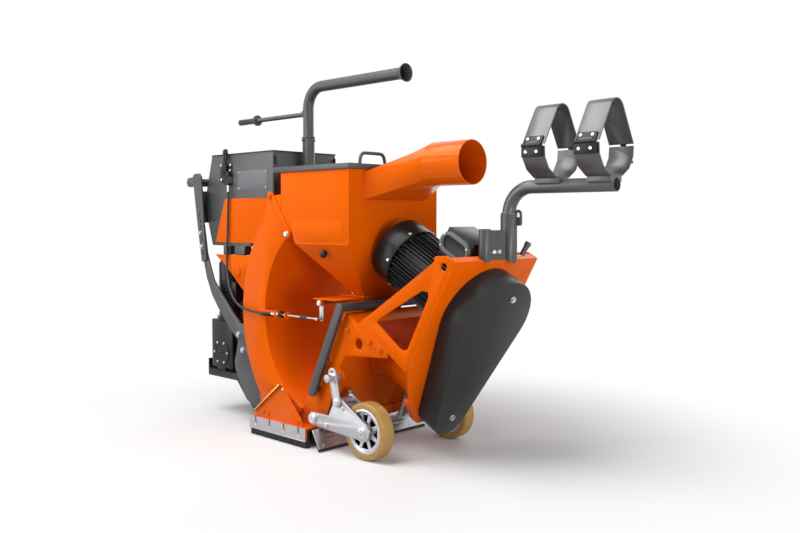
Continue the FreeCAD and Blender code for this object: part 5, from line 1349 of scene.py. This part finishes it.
# %% Panel
PANEL_FACE = 2.4
panel = slab("control_panel", oblong(-142, 14, 142, 122), 0.1, PANEL_FACE, on_rear, 0.9)
dress(panel, black_paint)
print("panel faces", [round(part, 3) for part in REAR_OUT])


# %% Buttons and switch
def turned_on_panel(name, y, down, outline, material):
    piece = lathe(name, outline, on_rear(y, down, PANEL_FACE), REAR_OUT)
    dress(piece, material)


turned_on_panel("stop_ring", -98, 58, [(0, 30), (1.6, 30), (2.4, 29)], yellow_plastic)
mushroom = [(2, 11), (12, 11), (14, 19), (17, 20), (22, 19), (26, 15), (28, 8), (28.6, 0)]
turned_on_panel("stop_button", -98, 58, mushroom, red_plastic)
for index, (y, paint) in enumerate(((-40, green_plastic), (-2, shiny_black))):
    turned_on_panel("button_ring_%d" % index, y, 46, [(0, 14.5), (4, 14.5), (5.5, 13), (5.5, 11)], steel)
    turned_on_panel("button_%d" % index, y, 46, [(3, 10.8), (8, 10.8), (9.4, 9.6)], paint)
turned_on_panel("switch_base", 44, 46, [(0, 17), (3, 17), (4.6, 15.4)], steel)
pointer = [(40.4, 30), (47.6, 30), (48.6, 60), (44, 65), (39.4, 60)]
dress(slab("switch_handle", pointer, 5, 19, on_rear, 1.6), shiny_black)
print("stop button stands %.1f mm off the panel" % mushroom[-1][0])

# %% Counter and sockets
counter = slab("hour_counter", oblong(80, 32, 128, 60), PANEL_FACE, 7.5, on_rear, 1.4)
dress(counter, plain_plate)
window = slab("hour_window", oblong(85, 38, 123, 53), 7.4, 8.0, on_rear, 0.3)
dress(window, dark_glass)
cap = [(0, 19), (5, 19), (6, 17.5), (14, 17.5), (16, 19.5), (22, 19.5), (24, 17.5)]
for index, y in enumerate((0, 56, 106)):
    turned_on_panel("socket_%d" % index, y, 96, cap, blue_plastic if index else shiny_black)
spots = [(on_rear(y, down, PANEL_FACE), REAR_OUT) for y in (-134, 134) for down in (22, 114)]
copies(screw_tiny, "panel_screws", spots, steel)
print("screws on the panel: %d" % len(spots))

# %% [markdown]
# ## Carrier socket, hopper and handle arms
#
# The carrier's socket has a hook clasp that drops over the tube's collar, a stub to tie the hose to and
# two clamp bolts. The hopper's near side has a doubler plate low down, where its hand knob bears. The
# hook is bent from bar, so it starts as a curve, as the cable does, and is turned to a mesh. A tube
# shaped by hand would kink at each corner.

# %% Clasp
def bent_bar(name, points, radius, material, body="frame"):
    """A round bar along a smooth line through points, turned to a mesh."""
    piece = smooth_line(name, points, radius / 1000, 4)
    work_on(piece)
    bpy.ops.object.convert(target="MESH")
    bpy.ops.object.shade_smooth_by_angle(angle=math.radians(40))
    piece.data.name = name
    return dress(piece, material, body)


HOOK_PATH = [(414, 84, 806), (414, 84, 826), (413, 84, 844), (405, 81, 850), (399, 78, 844), (399, 78, 830)]
bent_bar("clasp_hook", HOOK_PATH, 4.5, grey_paint)
print("hook of %d points" % len(HOOK_PATH))

# %% Stub, bolts and doubler
stub = [(0, 9), (34, 9), (36, 11), (46, 11), (48.5, 9)]
dress(lathe("hose_stub", stub, at(398, 112, 702), Vector((0.3, 0.35, 0.85)), 24), grey_paint)
copies(bolt_small, "socket_clamp_bolts", [(at(386, y, 716), AHEAD) for y in (-22, 4)], bright_zinc)
for end, x, z, paint in (("high", -515, 908, orange_paint), ("low", -417, 767, bright_zinc)):
    spots = [(at(x, sign * 231, z), OUT[label]) for label, sign in SIGN.items()]
    copies(bolt_m10, "strap_bolts_" + end, spots, paint)
doubler = slab("hopper_doubler", oblong(-384, 745, -114, 815), 225, 226.2, facing("near"), 0.7)
dress(doubler, orange_paint)
spots = [(at(x, sign * 194.3, z), OUT[label]) for label, sign in SIGN.items()
         for x, z in ((-1044, 762), (-1034, 706))]
copies(bolt_m10, "handle_arm_bolts", spots, zinc, "handle")
print("bolts on the handle's arms: %d" % len(spots))

# %% [markdown]
# ## Slots in the handle's arms
#
# The handle's arms slide on two bolts each, past a row of slots. The slots go through both arms, so one
# long box per slot cuts the pair at once. The boxes are joined first, which makes it a single cut.

# %% Height slots in the handle's arms
slots = []
for z in (838, 813, 788, 735, 681):
    middle = at(-1044 + (800 - z) * 0.15, 0, z)
    slots.append(solid("cube", "slot_%d" % z, size=1, location=middle, scale=(0.006, 0.42, 0.016)))
rounded("handle_frame", 1.2, cut=[joined("arm_slots", *slots)])
print("slots in each arm: %d" % len(slots))

# %% [markdown]
# ## The lid's handle
#
# A round bar bent into an arch, welded to the lid at both feet. Half a torus with two legs would give
# an even bow, but a bar bent cold has a flat top and two tight corners, which a curve through a few
# points follows. It rides on the lid's body, so it lifts with the lid.

# %% Lid handle
HANDLE_PATH = [(-95, -39, 1013), (-95, -40, 1026), (-95, -45, 1043), (-95, -54, 1051), (-95, -66, 1052.3),
               (-95, -84, 1052.3), (-95, -117, 1052.3), (-95, -135, 1052.3), (-95, -147, 1051),
               (-95, -156, 1043), (-95, -161, 1026), (-95, -162, 1013)]
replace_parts(bent_bar("lid_handle_bent", HANDLE_PATH, 6, grey_paint, "lid"), "lid_handle")
print("lid handle rises %.1f mm" % (max(z for x, y, z in HANDLE_PATH) - HANDLE_PATH[0][2]))

# %% [markdown]
# ## Weld beads
#
# Where two plates meet, the weld stands a little proud. A cylinder with a rippled finish would do from
# the front, but the outline of a bead is rippled too. So each is turned like any bar, from an outline
# that swells and shrinks every couple of millimetres, and lies half sunk in the corner.

# %% Weld beads
bead("weld_duct_near", at(-457, -225, 905), at(-457, -225, 780), 2.4)
bead("weld_duct_far", at(-457, 225, 905), at(-457, 225, 780), 2.4)
for label, sign in SIGN.items():
    bead("weld_fold_" + label, at(-375, sign * 224.6, 732), at(-85, sign * 224.6, 732), 2.0)
    bead("weld_brace_" + label, at(90, sign * 216.2, 379.5), at(-46, sign * 216.2, 460), 2.4)
    bead("weld_boss_" + label, at(-242, sign * 234, 215), at(-268, sign * 234, 215), 1.8, grey_paint)
bead("weld_mast_low", at(-523, -36, 925), at(-459, -36, 925), 2.4, grey_paint)
bead("weld_mast_high", at(-523, -36, 982), at(-459, -36, 982), 2.4, grey_paint)
bead("weld_dust_near", at(-82, -157, 890), at(-82, -157, 982), 2.2)
bead("weld_dust_low", at(-82, -155, 888), at(-82, 155, 888), 2.2)

# %% [markdown]
# ## Last steps
#
# The models that were copied are taken away, and the size with all its dressing is printed.

# %% Put the models away and write the size
start_clean()
for model in MODELS:
    model.select_set(True)
bpy.ops.object.delete()
low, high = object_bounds()
print("dressed size", [round(b - a, 4) for a, b in zip(low, high)])
